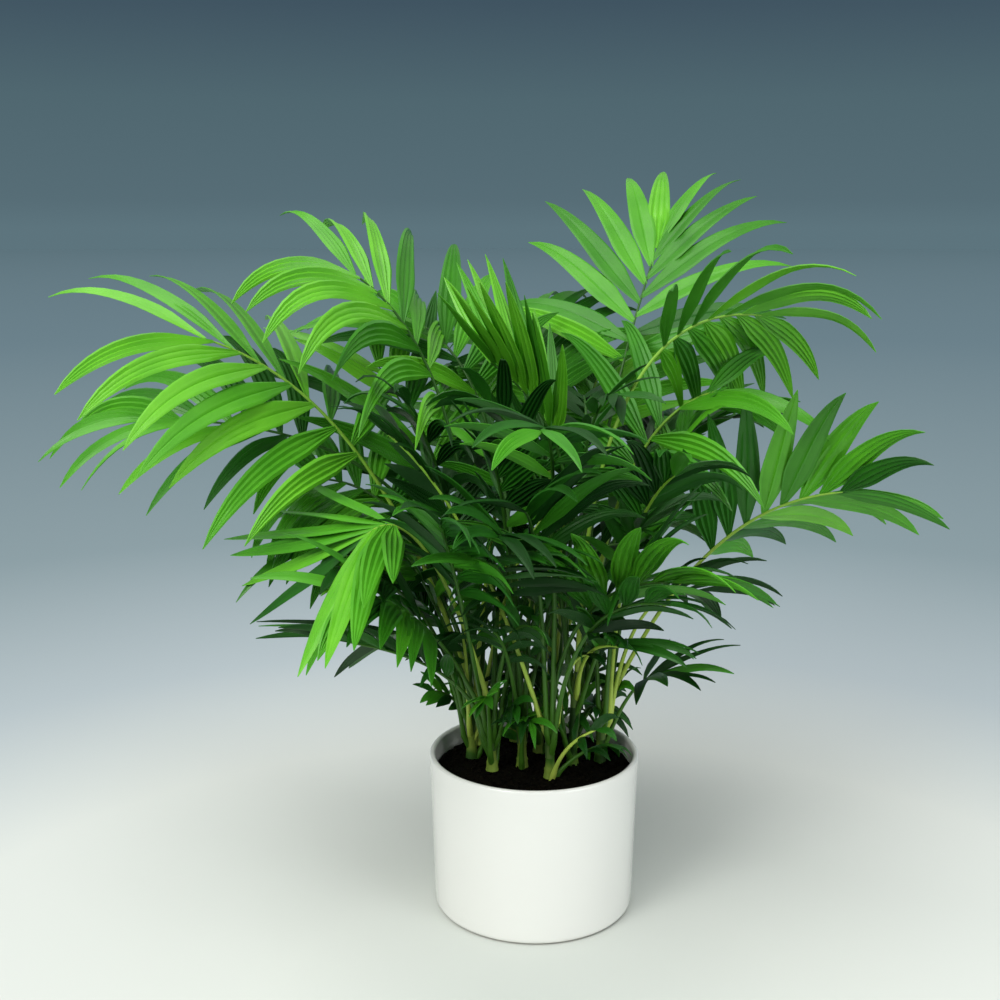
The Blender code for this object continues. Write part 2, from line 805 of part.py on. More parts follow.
def main():
    """Builds the pot, the soil, the stems and the fronds, in that order."""
    clear_scene()
    palm = bpy.data.collections.new("parlour_palm")
    bpy.context.scene.collection.children.link(palm)
    glaze = make_material("white_glaze", (0.83, 0.84, 0.82), 0.2)
    earth = make_material("dark_soil", (0.018, 0.013, 0.009), 0.95)
    cane = make_material("cane_green", (0.16, 0.26, 0.05), 0.5)
    bright = make_material("bright_leaf", (0.13, 0.42, 0.03), 0.45)
    deep = make_material("deep_leaf", (0.03, 0.16, 0.02), 0.45)

    crown = Crown()
    crown.add_object(make_pot(palm, glaze))
    crown.add_object(make_soil(palm, earth))
    for stem in STEMS:
        crown.add_object(make_stem(stem, palm, cane))

    ribs = [clear_rib(frond, crown) for frond in all_fronds()]
    for rib in ribs:
        if rib is not None:
            leaflets = clear_leaflets(rib, crown)
            make_frond(rib, leaflets, palm, bright if rib.frond.leaf > 0.1 else deep)


if __name__ == "__main__":
    main()
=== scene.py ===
"""Parlour palm in a white glazed pot, dressed for the studio.

Every length is in metres. The origin is the middle of the pot's flat underside, +X is to the right and
-Y towards the viewer. The fronds are drawn by the same rule as their solids, with finer leaflets.
"""

import logging
import math
import random
from dataclasses import dataclass, field, replace
from enum import Enum

import bmesh
import bpy
import numpy as np
from mathutils import Matrix, Vector
from mathutils.bvhtree import BVHTree


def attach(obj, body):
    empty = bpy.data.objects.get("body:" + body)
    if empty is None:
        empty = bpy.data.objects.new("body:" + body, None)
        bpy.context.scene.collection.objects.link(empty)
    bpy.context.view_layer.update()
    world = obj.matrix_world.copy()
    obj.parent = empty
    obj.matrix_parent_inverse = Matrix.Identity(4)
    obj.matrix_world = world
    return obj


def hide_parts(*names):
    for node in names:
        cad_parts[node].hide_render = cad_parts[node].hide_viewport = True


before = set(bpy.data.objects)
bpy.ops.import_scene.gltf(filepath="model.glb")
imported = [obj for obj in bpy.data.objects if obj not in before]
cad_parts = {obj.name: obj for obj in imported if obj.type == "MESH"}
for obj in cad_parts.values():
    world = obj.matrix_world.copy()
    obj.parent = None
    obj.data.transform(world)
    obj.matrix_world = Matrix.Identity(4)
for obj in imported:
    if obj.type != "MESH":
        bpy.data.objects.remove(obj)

logging.basicConfig(level=logging.INFO, format="%(message)s")
log = logging.getLogger("parlour_palm")

WORLD_UP = Vector((0.0, 0.0, 1.0))
BODY = "root"


class Tone(Enum):
    """The greens that the fronds are dealt: lighter and darker copies of one leaf green, painted light on the
    sunlit outer fronds and painted shade in the shaded heart.
    """

    LIGHT = "light"
    FRESH = "fresh"
    MIDDLE = "middle"
    DEEP = "deep"
    DARK = "dark"


class Coordinate(Enum):
    """Where a pattern is laid: on the place in space or on the piece's own map."""

    PLACE = "Object"
    MAP = "UV"


# Finishes


def set_stops(ramp: bpy.types.ColorRamp, stops: tuple) -> None:
    """Gives a colour ramp its stops, each a position and a (red, green, blue)."""
    while len(ramp.elements) < len(stops):
        ramp.elements.new(1.0)
    for element, (position, colour) in zip(ramp.elements, stops):
        element.position = position
        element.color = (*colour, 1.0)


class Surface:
    """A Principled material with helpers for the nodes that feed it."""

    def __init__(self, name: str, roughness: float) -> None:
        """Starts the material.

        Args:
            name: The material's name.
            roughness: The roughness where nothing else is linked.
        """
        self.material = bpy.data.materials.new(name)
        self.material.use_nodes = True
        self.tree = self.material.node_tree
        self.shader = self.tree.nodes["Principled BSDF"]
        self.shader.inputs["Roughness"].default_value = roughness

    def put(self, name: str, value: float) -> None:
        """Sets one of the shader's numbers that are the same all over."""
        self.shader.inputs[name].default_value = value

    def node(self, kind: str, **values: object) -> bpy.types.Node:
        """Adds a node and sets its properties.

        Args:
            kind: The node's type name.
            **values: Properties of the node, by name.

        Returns:
            The new node.
        """
        item = self.tree.nodes.new(kind)
        for name, value in values.items():
            setattr(item, name, value)
        return item

    def link(self, source: bpy.types.NodeSocket, target: bpy.types.NodeSocket) -> None:
        """Joins two sockets."""
        self.tree.links.new(source, target)

    def coordinate(self, kind: Coordinate) -> bpy.types.NodeSocket:
        """The socket that gives a pattern its place."""
        return self.node("ShaderNodeTexCoord").outputs[kind.value]

    def noise(
        self, scale: float, detail: float = 3.0, stretch: tuple = (1.0, 1.0, 1.0)
    ) -> bpy.types.NodeSocket:
        """A cloudy pattern in space.

        Args:
            scale: Cells for each metre.
            detail: Octaves of finer detail.
            stretch: How much the pattern is squeezed along each axis.

        Returns:
            The pattern's value socket, from 0 to 1.
        """
        mapping = self.node("ShaderNodeMapping")
        mapping.inputs["Scale"].default_value = stretch
        self.link(self.coordinate(Coordinate.PLACE), mapping.inputs["Vector"])
        item = self.node("ShaderNodeTexNoise")
        item.inputs["Scale"].default_value = scale
        item.inputs["Detail"].default_value = detail
        self.link(mapping.outputs["Vector"], item.inputs["Vector"])
        return item.outputs["Fac"]

    def ramp(self, source: bpy.types.NodeSocket, stops: tuple) -> bpy.types.NodeSocket:
        """A row of colours along a value.

        Args:
            source: The value.
            stops: Pairs of position and (red, green, blue).

        Returns:
            The colour socket.
        """
        item = self.node("ShaderNodeValToRGB")
        set_stops(item.color_ramp, stops)
        self.link(source, item.inputs["Fac"])
        return item.outputs["Color"]

    def span(self, source: bpy.types.NodeSocket, low: float, high: float) -> bpy.types.NodeSocket:
        """A value from 0 to 1 spread between two others."""
        item = self.node("ShaderNodeMapRange")
        item.inputs["To Min"].default_value = low
        item.inputs["To Max"].default_value = high
        self.link(source, item.inputs["Value"])
        return item.outputs["Result"]

    def height_share(self, low: float, high: float) -> bpy.types.NodeSocket:
        """How far a place is from one height to another, from 0 to 1."""
        split = self.node("ShaderNodeSeparateXYZ")
        self.link(self.coordinate(Coordinate.PLACE), split.inputs["Vector"])
        item = self.node("ShaderNodeMapRange")
        item.inputs["From Min"].default_value = low
        item.inputs["From Max"].default_value = high
        self.link(split.outputs["Z"], item.inputs["Value"])
        return item.outputs["Result"]

    def mix(
        self, share: object, first: object, second: object, blend_type: str = "MIX"
    ) -> bpy.types.NodeSocket:
        """A colour between two others.

        Args:
            share: A socket or number, 0 for the first.
            first: A socket or (red, green, blue).
            second: A socket or (red, green, blue).
            blend_type: How the second is laid over the first.

        Returns:
            The colour socket.
        """
        item = self.node("ShaderNodeMix", data_type="RGBA", blend_type=blend_type)
        for socket, value in ((item.inputs[0], share), (item.inputs[6], first), (item.inputs[7], second)):
            if isinstance(value, bpy.types.NodeSocket):
                self.link(value, socket)
            elif isinstance(value, tuple):
                socket.default_value = (*value, 1.0)
            else:
                socket.default_value = value
        return item.outputs[2]

    def bump(self, height: bpy.types.NodeSocket, distance: float, strength: float = 1.0) -> None:
        """Raises the surface by a pattern, over any bump that is there already."""
        item = self.node("ShaderNodeBump")
        item.inputs["Distance"].default_value = distance
        item.inputs["Strength"].default_value = strength
        self.link(height, item.inputs["Height"])
        normal = self.shader.inputs["Normal"]
        if normal.is_linked:
            self.link(normal.links[0].from_socket, item.inputs["Normal"])
        self.link(item.outputs["Normal"], normal)

    def colour(self, source: bpy.types.NodeSocket) -> None:
        """Feeds the base colour."""
        self.link(source, self.shader.inputs["Base Color"])

    def roughness(self, source: bpy.types.NodeSocket) -> None:
        """Feeds the roughness."""
        self.link(source, self.shader.inputs["Roughness"])


@dataclass(frozen=True)
class LeafFinish:
    """Living leaf: one base green that clouds a little, lengthwise veins and a half gloss."""

    name: str
    green: tuple
    shade: tuple
    coat: float
    roughness: float = 0.40
    cloud_scale: float = 30.0
    vein_count: float = 9.0
    vein_height: float = 0.00010

    def make(self) -> bpy.types.Material:
        """Builds the material.

        Returns:
            The leaf's material.
        """
        surface = Surface(self.name, self.roughness)
        surface.put("Specular IOR Level", 0.22)
        surface.put("Coat Weight", self.coat)
        surface.put("Coat Roughness", 0.22)
        cloud = surface.noise(self.cloud_scale, 4.0)
        surface.colour(surface.mix(surface.span(cloud, -0.4, 1.4), self.green, self.shade))
        wear = surface.noise(60.0, 3.0)
        surface.roughness(surface.span(wear, self.roughness - 0.09, self.roughness + 0.12))
        veins = surface.node("ShaderNodeTexWave", wave_type="BANDS", bands_direction="X")
        veins.inputs["Scale"].default_value = self.vein_count
        veins.inputs["Distortion"].default_value = 0.3
        surface.link(surface.coordinate(Coordinate.MAP), veins.inputs["Vector"])
        surface.bump(veins.outputs["Fac"], self.vein_height, 0.5)
        return surface.material


@dataclass(frozen=True)
class StalkFinish:
    """Leaf stalks and midribs: yellow-green, paler and streaked towards the foot."""

    name: str
    low: tuple
    high: tuple
    streak: tuple
    low_height: float = 0.12
    high_height: float = 0.30
    roughness: float = 0.4

    def make(self) -> bpy.types.Material:
        """Builds the material.

        Returns:
            The stalks' material.
        """
        surface = Surface(self.name, self.roughness)
        surface.put("Specular IOR Level", 0.3)
        rise = surface.height_share(self.low_height, self.high_height)
        green = surface.ramp(rise, ((0.0, self.low), (1.0, self.high)))
        streak = surface.noise(220.0, 3.0, (1.0, 1.0, 0.08))
        surface.colour(surface.mix(surface.span(streak, 0.0, 0.5), green, self.streak))
        surface.roughness(surface.span(streak, 0.32, 0.5))
        surface.bump(streak, 0.0002, 0.5)
        return surface.material


@dataclass(frozen=True)
class CaneFinish:
    """Canes: green, here yellowed and there nearly black, with fine streaks along them."""

    name: str = "cane_bark"
    dark: tuple = (0.012, 0.045, 0.004)
    green: tuple = (0.045, 0.150, 0.010)
    yellow: tuple = (0.240, 0.360, 0.045)
    streak: tuple = (0.014, 0.040, 0.006)
    roughness: float = 0.55

    def make(self) -> bpy.types.Material:
        """Builds the material.

        Returns:
            The canes' material.
        """
        surface = Surface(self.name, self.roughness)
        surface.put("Specular IOR Level", 0.25)
        patch = surface.noise(34.0, 2.0)
        streak = surface.noise(260.0, 3.0, (1.0, 1.0, 0.1))
        base = surface.ramp(patch, ((0.40, self.dark), (0.48, self.green), (0.58, self.yellow)))
        surface.colour(surface.mix(surface.span(streak, 0.0, 0.6), base, self.streak))
        surface.roughness(surface.span(patch, 0.45, 0.75))
        surface.bump(streak, 0.0003, 0.7)
        return surface.material


@dataclass(frozen=True)
class SheathFinish:
    """Leaf sheaths: thin, ribbed and dull green, straw where they dry."""

    name: str = "leaf_sheath"
    pale: tuple = (0.11, 0.20, 0.030)
    dark: tuple = (0.022, 0.065, 0.009)
    roughness: float = 0.7

    def make(self) -> bpy.types.Material:
        """Builds the material.

        Returns:
            The sheaths' material.
        """
        surface = Surface(self.name, self.roughness)
        fibre = surface.noise(420.0, 4.0, (1.0, 1.0, 0.07))
        surface.colour(surface.ramp(fibre, ((0.3, self.dark), (0.7, self.pale))))
        surface.roughness(surface.span(fibre, 0.55, 0.8))
        surface.bump(fibre, 0.0003, 0.7)
        return surface.material


@dataclass(frozen=True)
class GlazeFinish:
    """White glaze over stoneware, with a clay-brown band on the lowest millimetres of the wall that is
    painted shade where the pot meets the floor.
    """

    name: str = "white_glaze"
    white: tuple = (0.83, 0.83, 0.79)
    cream: tuple = (0.79, 0.79, 0.75)
    painted_foot_shade: tuple = (0.34, 0.28, 0.22)
    roughness: float = 0.16
    shade_fades_above: float = 0.00176
    shade_full_below: float = 0.00077

    def make(self) -> bpy.types.Material:
        """Builds the material.

        Returns:
            The pot's material.
        """
        surface = Surface(self.name, self.roughness)
        surface.put("Specular IOR Level", 0.5)
        surface.put("Coat Weight", 0.35)
        surface.put("Coat Roughness", 0.08)
        cloud = surface.noise(9.0, 3.0)
        glaze = surface.mix(surface.span(cloud, 0.0, 0.6), self.white, self.cream)
        # Painted shade: a clay-brown band at the very foot, full below about 0.8 mm and fading out by 1.8 mm,
        # stands in for the dark line where the pot meets the floor
        bare = surface.height_share(self.shade_fades_above, self.shade_full_below)
        surface.colour(surface.mix(bare, glaze, self.painted_foot_shade))
        surface.roughness(surface.span(surface.noise(40.0, 2.0), self.roughness - 0.05, self.roughness + 0.1))
        surface.bump(surface.noise(28.0, 1.0), 0.0005, 0.35)
        surface.bump(surface.noise(420.0, 1.0), 0.00004, 0.4)
        return surface.material


@dataclass(frozen=True)
class SoilFinish:
    """Damp potting soil: near black, with brown bark and a few pale specks."""

    name: str = "potting_soil"
    black: tuple = (0.0010, 0.0009, 0.0006)
    brown: tuple = (0.005, 0.004, 0.002)
    speck: tuple = (0.10, 0.08, 0.06)
    roughness: float = 0.9

    def make(self) -> bpy.types.Material:
        """Builds the material.

        Returns:
            The soil's material.
        """
        surface = Surface(self.name, self.roughness)
        surface.put("Specular IOR Level", 0.05)
        grain = surface.noise(330.0, 6.0)
        base = surface.ramp(grain, ((0.35, self.black), (0.62, self.brown)))
        black, white = (0.0, 0.0, 0.0), (1.0, 1.0, 1.0)
        cells = surface.node("ShaderNodeTexVoronoi")
        cells.inputs["Scale"].default_value = 420.0
        surface.link(surface.coordinate(Coordinate.PLACE), cells.inputs["Vector"])
        dots = surface.ramp(cells.outputs["Distance"], ((0.05, white), (0.13, black)))
        rare = surface.ramp(surface.noise(95.0, 2.0), ((0.66, black), (0.72, white)))
        both = surface.mix(1.0, dots, rare, "MULTIPLY")
        surface.colour(surface.mix(both, base, self.speck))
        surface.roughness(surface.span(grain, 0.7, 1.0))
        surface.bump(grain, 0.0012, 0.9)
        return surface.material


# Lit and shaded copies of one leaf green: the lighter greens are painted light, the darker ones painted shade
LIT_AND_SHADED_LEAF_FINISHES = {
    Tone.LIGHT: LeafFinish("leaf_light", (0.170, 0.560, 0.025), (0.100, 0.410, 0.015), 0.35),
    Tone.FRESH: LeafFinish("leaf_fresh", (0.105, 0.430, 0.018), (0.058, 0.300, 0.011), 0.30),
    Tone.MIDDLE: LeafFinish("leaf_middle", (0.058, 0.290, 0.013), (0.030, 0.190, 0.008), 0.25),
    Tone.DEEP: LeafFinish("leaf_deep", (0.024, 0.160, 0.008), (0.012, 0.095, 0.006), 0.18),
    Tone.DARK: LeafFinish("leaf_dark", (0.009, 0.072, 0.005), (0.005, 0.042, 0.004), 0.10),
}

# Painted light and shade: the outer fronds that stand in the light get the lighter greens, the small low ones
# darker greens
OUTER_TONES = {
    "frond_left_far": Tone.LIGHT,
    "frond_left_drop": Tone.FRESH,
    "frond_left_up": Tone.LIGHT,
    "frond_right_top": Tone.FRESH,
    "frond_right_arch": Tone.LIGHT,
    "frond_right_low": Tone.FRESH,
    "frond_right_small": Tone.DEEP,
    "frond_left_low": Tone.FRESH,
    "frond_left_small": Tone.DEEP,
    "frond_left_mid": Tone.FRESH,
    "frond_middle_fan": Tone.LIGHT,
}

# Painted light and shade: the high rings get lighter greens, while the low ring, the core and the heart,
# where the crown is shaded, get darker greens
RING_TONES = {
    "high": (Tone.FRESH, Tone.FRESH, Tone.MIDDLE),
    "mid": (Tone.FRESH, Tone.MIDDLE, Tone.MIDDLE),
    "front": (Tone.MIDDLE, Tone.DEEP, Tone.DEEP),
    "low": (Tone.DEEP, Tone.DEEP, Tone.DARK),
    "core": (Tone.DARK, Tone.DEEP, Tone.DARK),
    "young": (Tone.MIDDLE, Tone.DEEP, Tone.DARK),
    "heart": (Tone.DEEP, Tone.DARK, Tone.DARK),
    "sprout": (Tone.MIDDLE, Tone.DEEP, Tone.DARK),
    "crest": (Tone.FRESH, Tone.MIDDLE, Tone.MIDDLE),
}


# Small tools


def heading(compass: float) -> Vector:
    """A level unit vector at a compass angle in degrees, 0 along +X and 90 along +Y."""
    angle = math.radians(compass)
    return Vector((math.cos(angle), math.sin(angle), 0.0))


def blend(low: float, high: float, share: float) -> float:
    """The value a share of the way from low to high."""
    return low + (high - low) * share


def finished(
    name: str, shape: bmesh.types.BMesh, material: bpy.types.Material
) -> bpy.types.Object:
    """Turns a bmesh into a piece of the part, at the origin, and frees it.

    Args:
        name: The piece's name.
        shape: The finished bmesh.
        material: What dresses it.

    Returns:
        The piece.
    """
    mesh = bpy.data.meshes.new(name)
    shape.to_mesh(mesh)
    shape.free()
    mesh.materials.append(material)
    piece = bpy.data.objects.new(name, mesh)
    bpy.context.scene.collection.objects.link(piece)
    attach(piece, BODY)
    log.info("%s: %d faces", name, len(mesh.polygons))
    return piece


def smooth_with_sharp_rims(shape: bmesh.types.BMesh, angle: float) -> None:
    """Shades faces smooth, but keeps edges sharper than an angle in radians crisp."""
    for face in shape.faces:
        face.smooth = True
    for edge in shape.edges:
        if edge.is_manifold and edge.calc_face_angle(0.0) > angle:
            edge.smooth = False


def arc_points(centre: tuple, radius: float, start: float, end: float, steps: int) -> list:
    """Points along an arc of a circle between two angles in degrees, both ends counted."""
    angles = [math.radians(blend(start, end, step / steps)) for step in range(steps + 1)]
    return [(centre[0] + radius * math.cos(angle), centre[1] + radius * math.sin(angle)) for angle in angles]


def ring_edges(ring: list) -> list:
    """The edges of a closed ring of corners, in its order."""
    return [
        next(edge for edge in corner.link_edges if edge.other_vert(corner) is after)
        for corner, after in zip(ring, ring[1:] + ring[:1])
    ]


def grow_limb(shape: bmesh.types.BMesh, rings: list) -> None:
    """Extrudes one closed limb through rings of corners.

    Args:
        shape: The bmesh that the limb is added to.
        rings: For each station a list of corners, all of one length, listed alike.
    """
    made = bmesh.ops.create_circle(shape, cap_ends=True, segments=len(rings[0]), radius=1.0)
    ring = made["verts"]
    for corner, target in zip(ring, rings[0]):
        corner.co = target
    faces = [ring[0].link_faces[0]]
    edges = ring_edges(ring)
    for targets in rings[1:]:
        grown = bmesh.ops.extrude_edge_only(shape, edges=edges)
        fresh = {}
        for corner in (item for item in grown["geom"] if isinstance(item, bmesh.types.BMVert)):
            for edge in corner.link_edges:
                other = edge.other_vert(corner)
                if other in ring:
                    fresh[other] = corner
        faces += [item for item in grown["geom"] if isinstance(item, bmesh.types.BMFace)]
        ring = [fresh[corner] for corner in ring]
        for corner, target in zip(ring, targets):
            corner.co = target
        edges = ring_edges(ring)
    closed = bmesh.ops.contextual_create(shape, geom=edges)
    faces += closed["faces"]
    bmesh.ops.recalc_face_normals(shape, faces=faces)


# The rule of the plant


@dataclass(frozen=True)
class Stem:
    """One cane of the clump: where it stands on the soil and how tall it is."""

    name: str
    x: float
    y: float
    height: float


@dataclass(frozen=True)
class Frond:
    """One feathered leaf, from the stem that carries it to its furthest leaflet.

    The rib leaves its stem, climbs past a knee and arches over to its tip. Spread is the leaflets' angle
    to the rib, at the bottom and at the tip, in degrees as all its angles are.
    """

    name: str
    stem: str
    leaves_at: float
    seed: int
    compass: float
    swing: float
    reach: float
    rise: float
    knee_out: float
    knee_up: float
    roll: float
    bare: float
    pairs: int
    leaf: float
    width: float
    spread: tuple
    lift: float
    hang: float
    sickle: float


@dataclass(frozen=True)
class Place:
    """Where a frond of a ring points, how far it reaches and rises, and the seed of its other sizes."""

    compass: float
    reach: float
    rise: float
    seed: int


@dataclass(frozen=True, kw_only=True)
class Sizes:
    """The ranges that the sizes of a group of fronds are drawn from."""

    name: str
    width: float | tuple
    pairs: tuple
    leaf: tuple
    hang: tuple
    knee_out: tuple
    knee_up: tuple
    bare: tuple = (0.46, 0.62)
    swing: tuple = (-25, 25)
    roll: tuple = (-35, 35)
    spread_low: tuple = (58, 74)
    spread_tip: tuple = (20, 38)
    lift: tuple = (0, 22)
    sickle: tuple = (0.0, 0.12)


@dataclass(frozen=True, kw_only=True)
class Ring(Sizes):
    """A level of the crown, with the places of its fronds."""

    places: tuple


@dataclass(frozen=True)
class Leaflet:
    """One blade of a frond: a tapering strip that bends under its own weight."""

    root: Vector
    aim: Vector
    along: Vector
    normal: Vector
    length: float
    width: float
    hang: float
    sickle: float
    twist: float


STEMS = (
    Stem("stem_left_front", -0.042, 0.010, 0.062),
    Stem("stem_left_back", -0.036, 0.034, 0.072),
    Stem("stem_left_low", -0.028, -0.012, 0.048),
    Stem("stem_middle_left", -0.012, 0.040, 0.080),
    Stem("stem_middle", 0.004, 0.020, 0.076),
    Stem("stem_middle_back", 0.014, 0.050, 0.084),
    Stem("stem_middle_front", -0.008, -0.006, 0.056),
    Stem("stem_right_back", 0.030, 0.030, 0.076),
    Stem("stem_right_low", 0.045, 0.004, 0.052),
    Stem("stem_right", 0.026, -0.002, 0.066),
    Stem("stem_right_front", 0.010, -0.024, 0.046),
)

STEM_NAMED = {stem.name: stem for stem in STEMS}

# The outer fronds, which draw the outline of the crown
OUTER_FRONDS = (
    Frond(
        name="frond_left_far", stem="stem_left_front", leaves_at=1.0, seed=1,
        compass=150, swing=32, reach=0.165, rise=0.222, knee_out=0.46, knee_up=0.185,
        roll=-14, bare=0.48, pairs=7, leaf=0.150, width=0.016, spread=(80, 34),
        lift=-5, hang=0.44, sickle=0.00,
    ),
    Frond(
        name="frond_left_drop", stem="stem_left_back", leaves_at=0.7, seed=3,
        compass=160, swing=22, reach=0.212, rise=0.179, knee_out=0.05, knee_up=0.180,
        roll=-28, bare=0.70, pairs=7, leaf=0.105, width=0.014, spread=(79, 9),
        lift=21, hang=0.87, sickle=0.17,
    ),
    Frond(
        name="frond_left_up", stem="stem_left_back", leaves_at=1.0, seed=2,
        compass=211, swing=-35, reach=0.079, rise=0.252, knee_out=0.02, knee_up=0.203,
        roll=-26, bare=0.51, pairs=7, leaf=0.121, width=0.015, spread=(75, 31),
        lift=2, hang=0.75, sickle=-0.02,
    ),
    Frond(
        name="frond_right_top", stem="stem_right_back", leaves_at=1.0, seed=1,
        compass=71, swing=-5, reach=0.156, rise=0.267, knee_out=0.09, knee_up=0.135,
        roll=5, bare=0.69, pairs=7, leaf=0.129, width=0.017, spread=(78, 13),
        lift=14, hang=0.51, sickle=0.13,
    ),
    Frond(
        name="frond_right_arch", stem="stem_right", leaves_at=1.0, seed=3,
        compass=-1, swing=19, reach=0.127, rise=0.231, knee_out=0.02, knee_up=0.248,
        roll=-38, bare=0.65, pairs=7, leaf=0.109, width=0.014, spread=(80, 24),
        lift=-2, hang=0.58, sickle=-0.05,
    ),
    Frond(
        name="frond_right_low", stem="stem_right_low", leaves_at=0.85, seed=3,
        compass=33, swing=-35, reach=0.148, rise=0.142, knee_out=0.53, knee_up=0.126,
        roll=-58, bare=0.47, pairs=8, leaf=0.100, width=0.016, spread=(65, 28),
        lift=20, hang=0.37, sickle=-0.05,
    ),
    Frond(
        name="frond_right_small", stem="stem_right_low", leaves_at=0.3, seed=2,
        compass=20, swing=-35, reach=0.033, rise=0.047, knee_out=0.51, knee_up=0.041,
        roll=-9, bare=0.74, pairs=4, leaf=0.064, width=0.010, spread=(72, 9),
        lift=9, hang=0.29, sickle=0.02,
    ),
    Frond(
        name="frond_left_low", stem="stem_left_low", leaves_at=1.0, seed=4,
        compass=215, swing=-6, reach=0.088, rise=0.118, knee_out=0.57, knee_up=0.159,
        roll=-4, bare=0.73, pairs=6, leaf=0.130, width=0.015, spread=(71, 33),
        lift=-3, hang=0.01, sickle=-0.05,
    ),
    Frond(
        name="frond_left_small", stem="stem_left_front", leaves_at=0.25, seed=3,
        compass=190, swing=-25, reach=0.055, rise=0.067, knee_out=0.18, knee_up=0.083,
        roll=30, bare=0.66, pairs=5, leaf=0.110, width=0.011, spread=(80, 28),
        lift=1, hang=0.08, sickle=-0.05,
    ),
    Frond(
        name="frond_left_mid", stem="stem_left_front", leaves_at=0.75, seed=1,
        compass=141, swing=20, reach=0.102, rise=0.140, knee_out=0.25, knee_up=0.139,
        roll=-37, bare=0.53, pairs=6, leaf=0.096, width=0.014, spread=(79, 43),
        lift=7, hang=1.02, sickle=-0.05,
    ),
    Frond(
        name="frond_middle_fan", stem="stem_middle", leaves_at=1.0, seed=2,
        compass=198, swing=-35, reach=0.035, rise=0.190, knee_out=-1.47, knee_up=0.132,
        roll=2, bare=0.64, pairs=8, leaf=0.095, width=0.013, spread=(40, 40),
        lift=36, hang=0.00, sickle=0.16,
    ),
)

# The fronds that fill the crown from all sides, level by level
RINGS = (
    Ring(
        name="high", width=0.0145, pairs=(6, 7), leaf=(0.095, 0.128), hang=(0.15, 0.55),
        knee_out=(0.02, 0.25), knee_up=(0.6, 0.95), bare=(0.5, 0.66),
        places=(
            Place(109, 0.108, 0.199, 18),
            Place(64, 0.105, 0.186, 73),
            Place(123, 0.101, 0.209, 1),
            Place(18, 0.083, 0.183, 24),
            Place(152, 0.103, 0.206, 86),
        ),
    ),
    Ring(
        name="mid", width=0.0135, pairs=(6, 7), leaf=(0.085, 0.118), hang=(0.2, 0.6),
        knee_out=(0.05, 0.35), knee_up=(0.7, 1.15),
        places=(
            Place(305, 0.088, 0.100, 44),
            Place(89, 0.159, 0.145, 52),
            Place(59, 0.158, 0.152, 58),
            Place(127, 0.150, 0.115, 53),
            Place(50, 0.135, 0.165, 50),
            Place(160, 0.092, 0.114, 39),
            Place(200, 0.100, 0.100, 62),
        ),
    ),
    Ring(
        name="front", width=0.0115, pairs=(6, 7), leaf=(0.062, 0.088), hang=(0.3, 0.8),
        knee_out=(0.02, 0.3), knee_up=(0.65, 1.05),
        places=(
            Place(279, 0.119, 0.209, 76),
            Place(254, 0.112, 0.127, 12),
            Place(268, 0.062, 0.160, 34),
            Place(204, 0.111, 0.159, 62),
            Place(336, 0.060, 0.170, 79),
            Place(258, 0.086, 0.116, 47),
        ),
    ),
    Ring(
        name="low", width=0.0105, pairs=(5, 6), leaf=(0.052, 0.082), hang=(0.2, 0.6),
        knee_out=(0.1, 0.4), knee_up=(0.7, 1.2),
        places=(
            Place(276, 0.058, 0.045, 29),
            Place(284, 0.099, 0.115, 44),
            Place(317, 0.076, 0.111, 22),
            Place(348, 0.064, 0.085, 59),
            Place(67, 0.116, 0.083, 15),
            Place(116, 0.119, 0.055, 5),
            Place(139, 0.116, 0.097, 39),
            Place(197, 0.095, 0.116, 50),
            Place(214, 0.088, 0.067, 31),
        ),
    ),
    Ring(
        name="core", width=0.0105, pairs=(5, 6), leaf=(0.052, 0.08), hang=(0.15, 0.5),
        knee_out=(0.02, 0.3), knee_up=(0.6, 0.95), bare=(0.42, 0.58),
        places=(
            Place(22, 0.037, 0.152, 37),
            Place(107, 0.056, 0.153, 71),
            Place(158, 0.027, 0.163, 81),
            Place(247, 0.033, 0.176, 17),
            Place(68, 0.045, 0.170, 85),
        ),
    ),
)


@dataclass(frozen=True)
class Habit:
    """How this plant grows: the sizes that all its stems, ribs and leaflets share."""

    soil_top: float = 0.094
    soil_crown: float = 0.003
    pot_radius: float = 0.070
    seat_gap: float = 0.0003
    clearance: float = 0.0003
    stem_radius_foot: float = 0.0044
    stem_radius_low: float = 0.0031
    stem_radius_tip: float = 0.0025
    stem_flare: float = 0.012
    stem_splay: float = 0.12
    clump_x: float = 0.002
    clump_y: float = 0.010
    rib_radius_foot: float = 0.0017
    rib_radius_tip: float = 0.0007
    rib_points: int = 7
    spine_steps: int = 12
    blade_stations: tuple = (0, 3, 7)
    small_stations: tuple = (0, 4)
    small_leaflet: float = 0.090
    blade_thickness: float = 0.0014
    blade_root: float = 0.0004
    pair_stagger: float = 0.3
    spread_jitter: float = 4.0
    lift_jitter: float = 7.0
    length_jitter: float = 0.07
    hang_power: float = 2.0
    last_leaflet: float = 0.99
    short_leaflet: float = 0.62
    size_start: float = 0.18
    size_span: float = 0.72
    slim_leaflet: float = 0.85
    steep_hang: float = 0.25
    blade_foot: float = 0.16
    blade_widening: float = 3.0
    blade_point: float = 2.4
    blade_rounding: float = 0.85
    hang_jitter: float = 0.25
    sickle_jitter: float = 0.4
    twist_jitter: float = 0.35
    first_leaves_at: float = 1.0
    leaves_step: float = 0.15
    lowest_leaves_at: float = 0.25
    busy_penalty: float = 0.011
    rib_turns: tuple = (0, 4, -4, 8, -8, 12, -12, 16, -16, 20, -20, 25, -25, 30, -30, 36, -36, 42, -42)
    leaflet_tries: tuple = (
        (1.0, 0), (1.0, 5), (1.0, -5), (1.0, 10), (1.0, -10), (1.0, 15), (1.0, -15),
        (0.85, 0), (0.85, 8), (0.85, -8), (0.7, 0), (0.7, 8), (0.7, -8), (0.55, 0), (0.55, 8), (0.55, -8),
    )


HABIT = Habit()


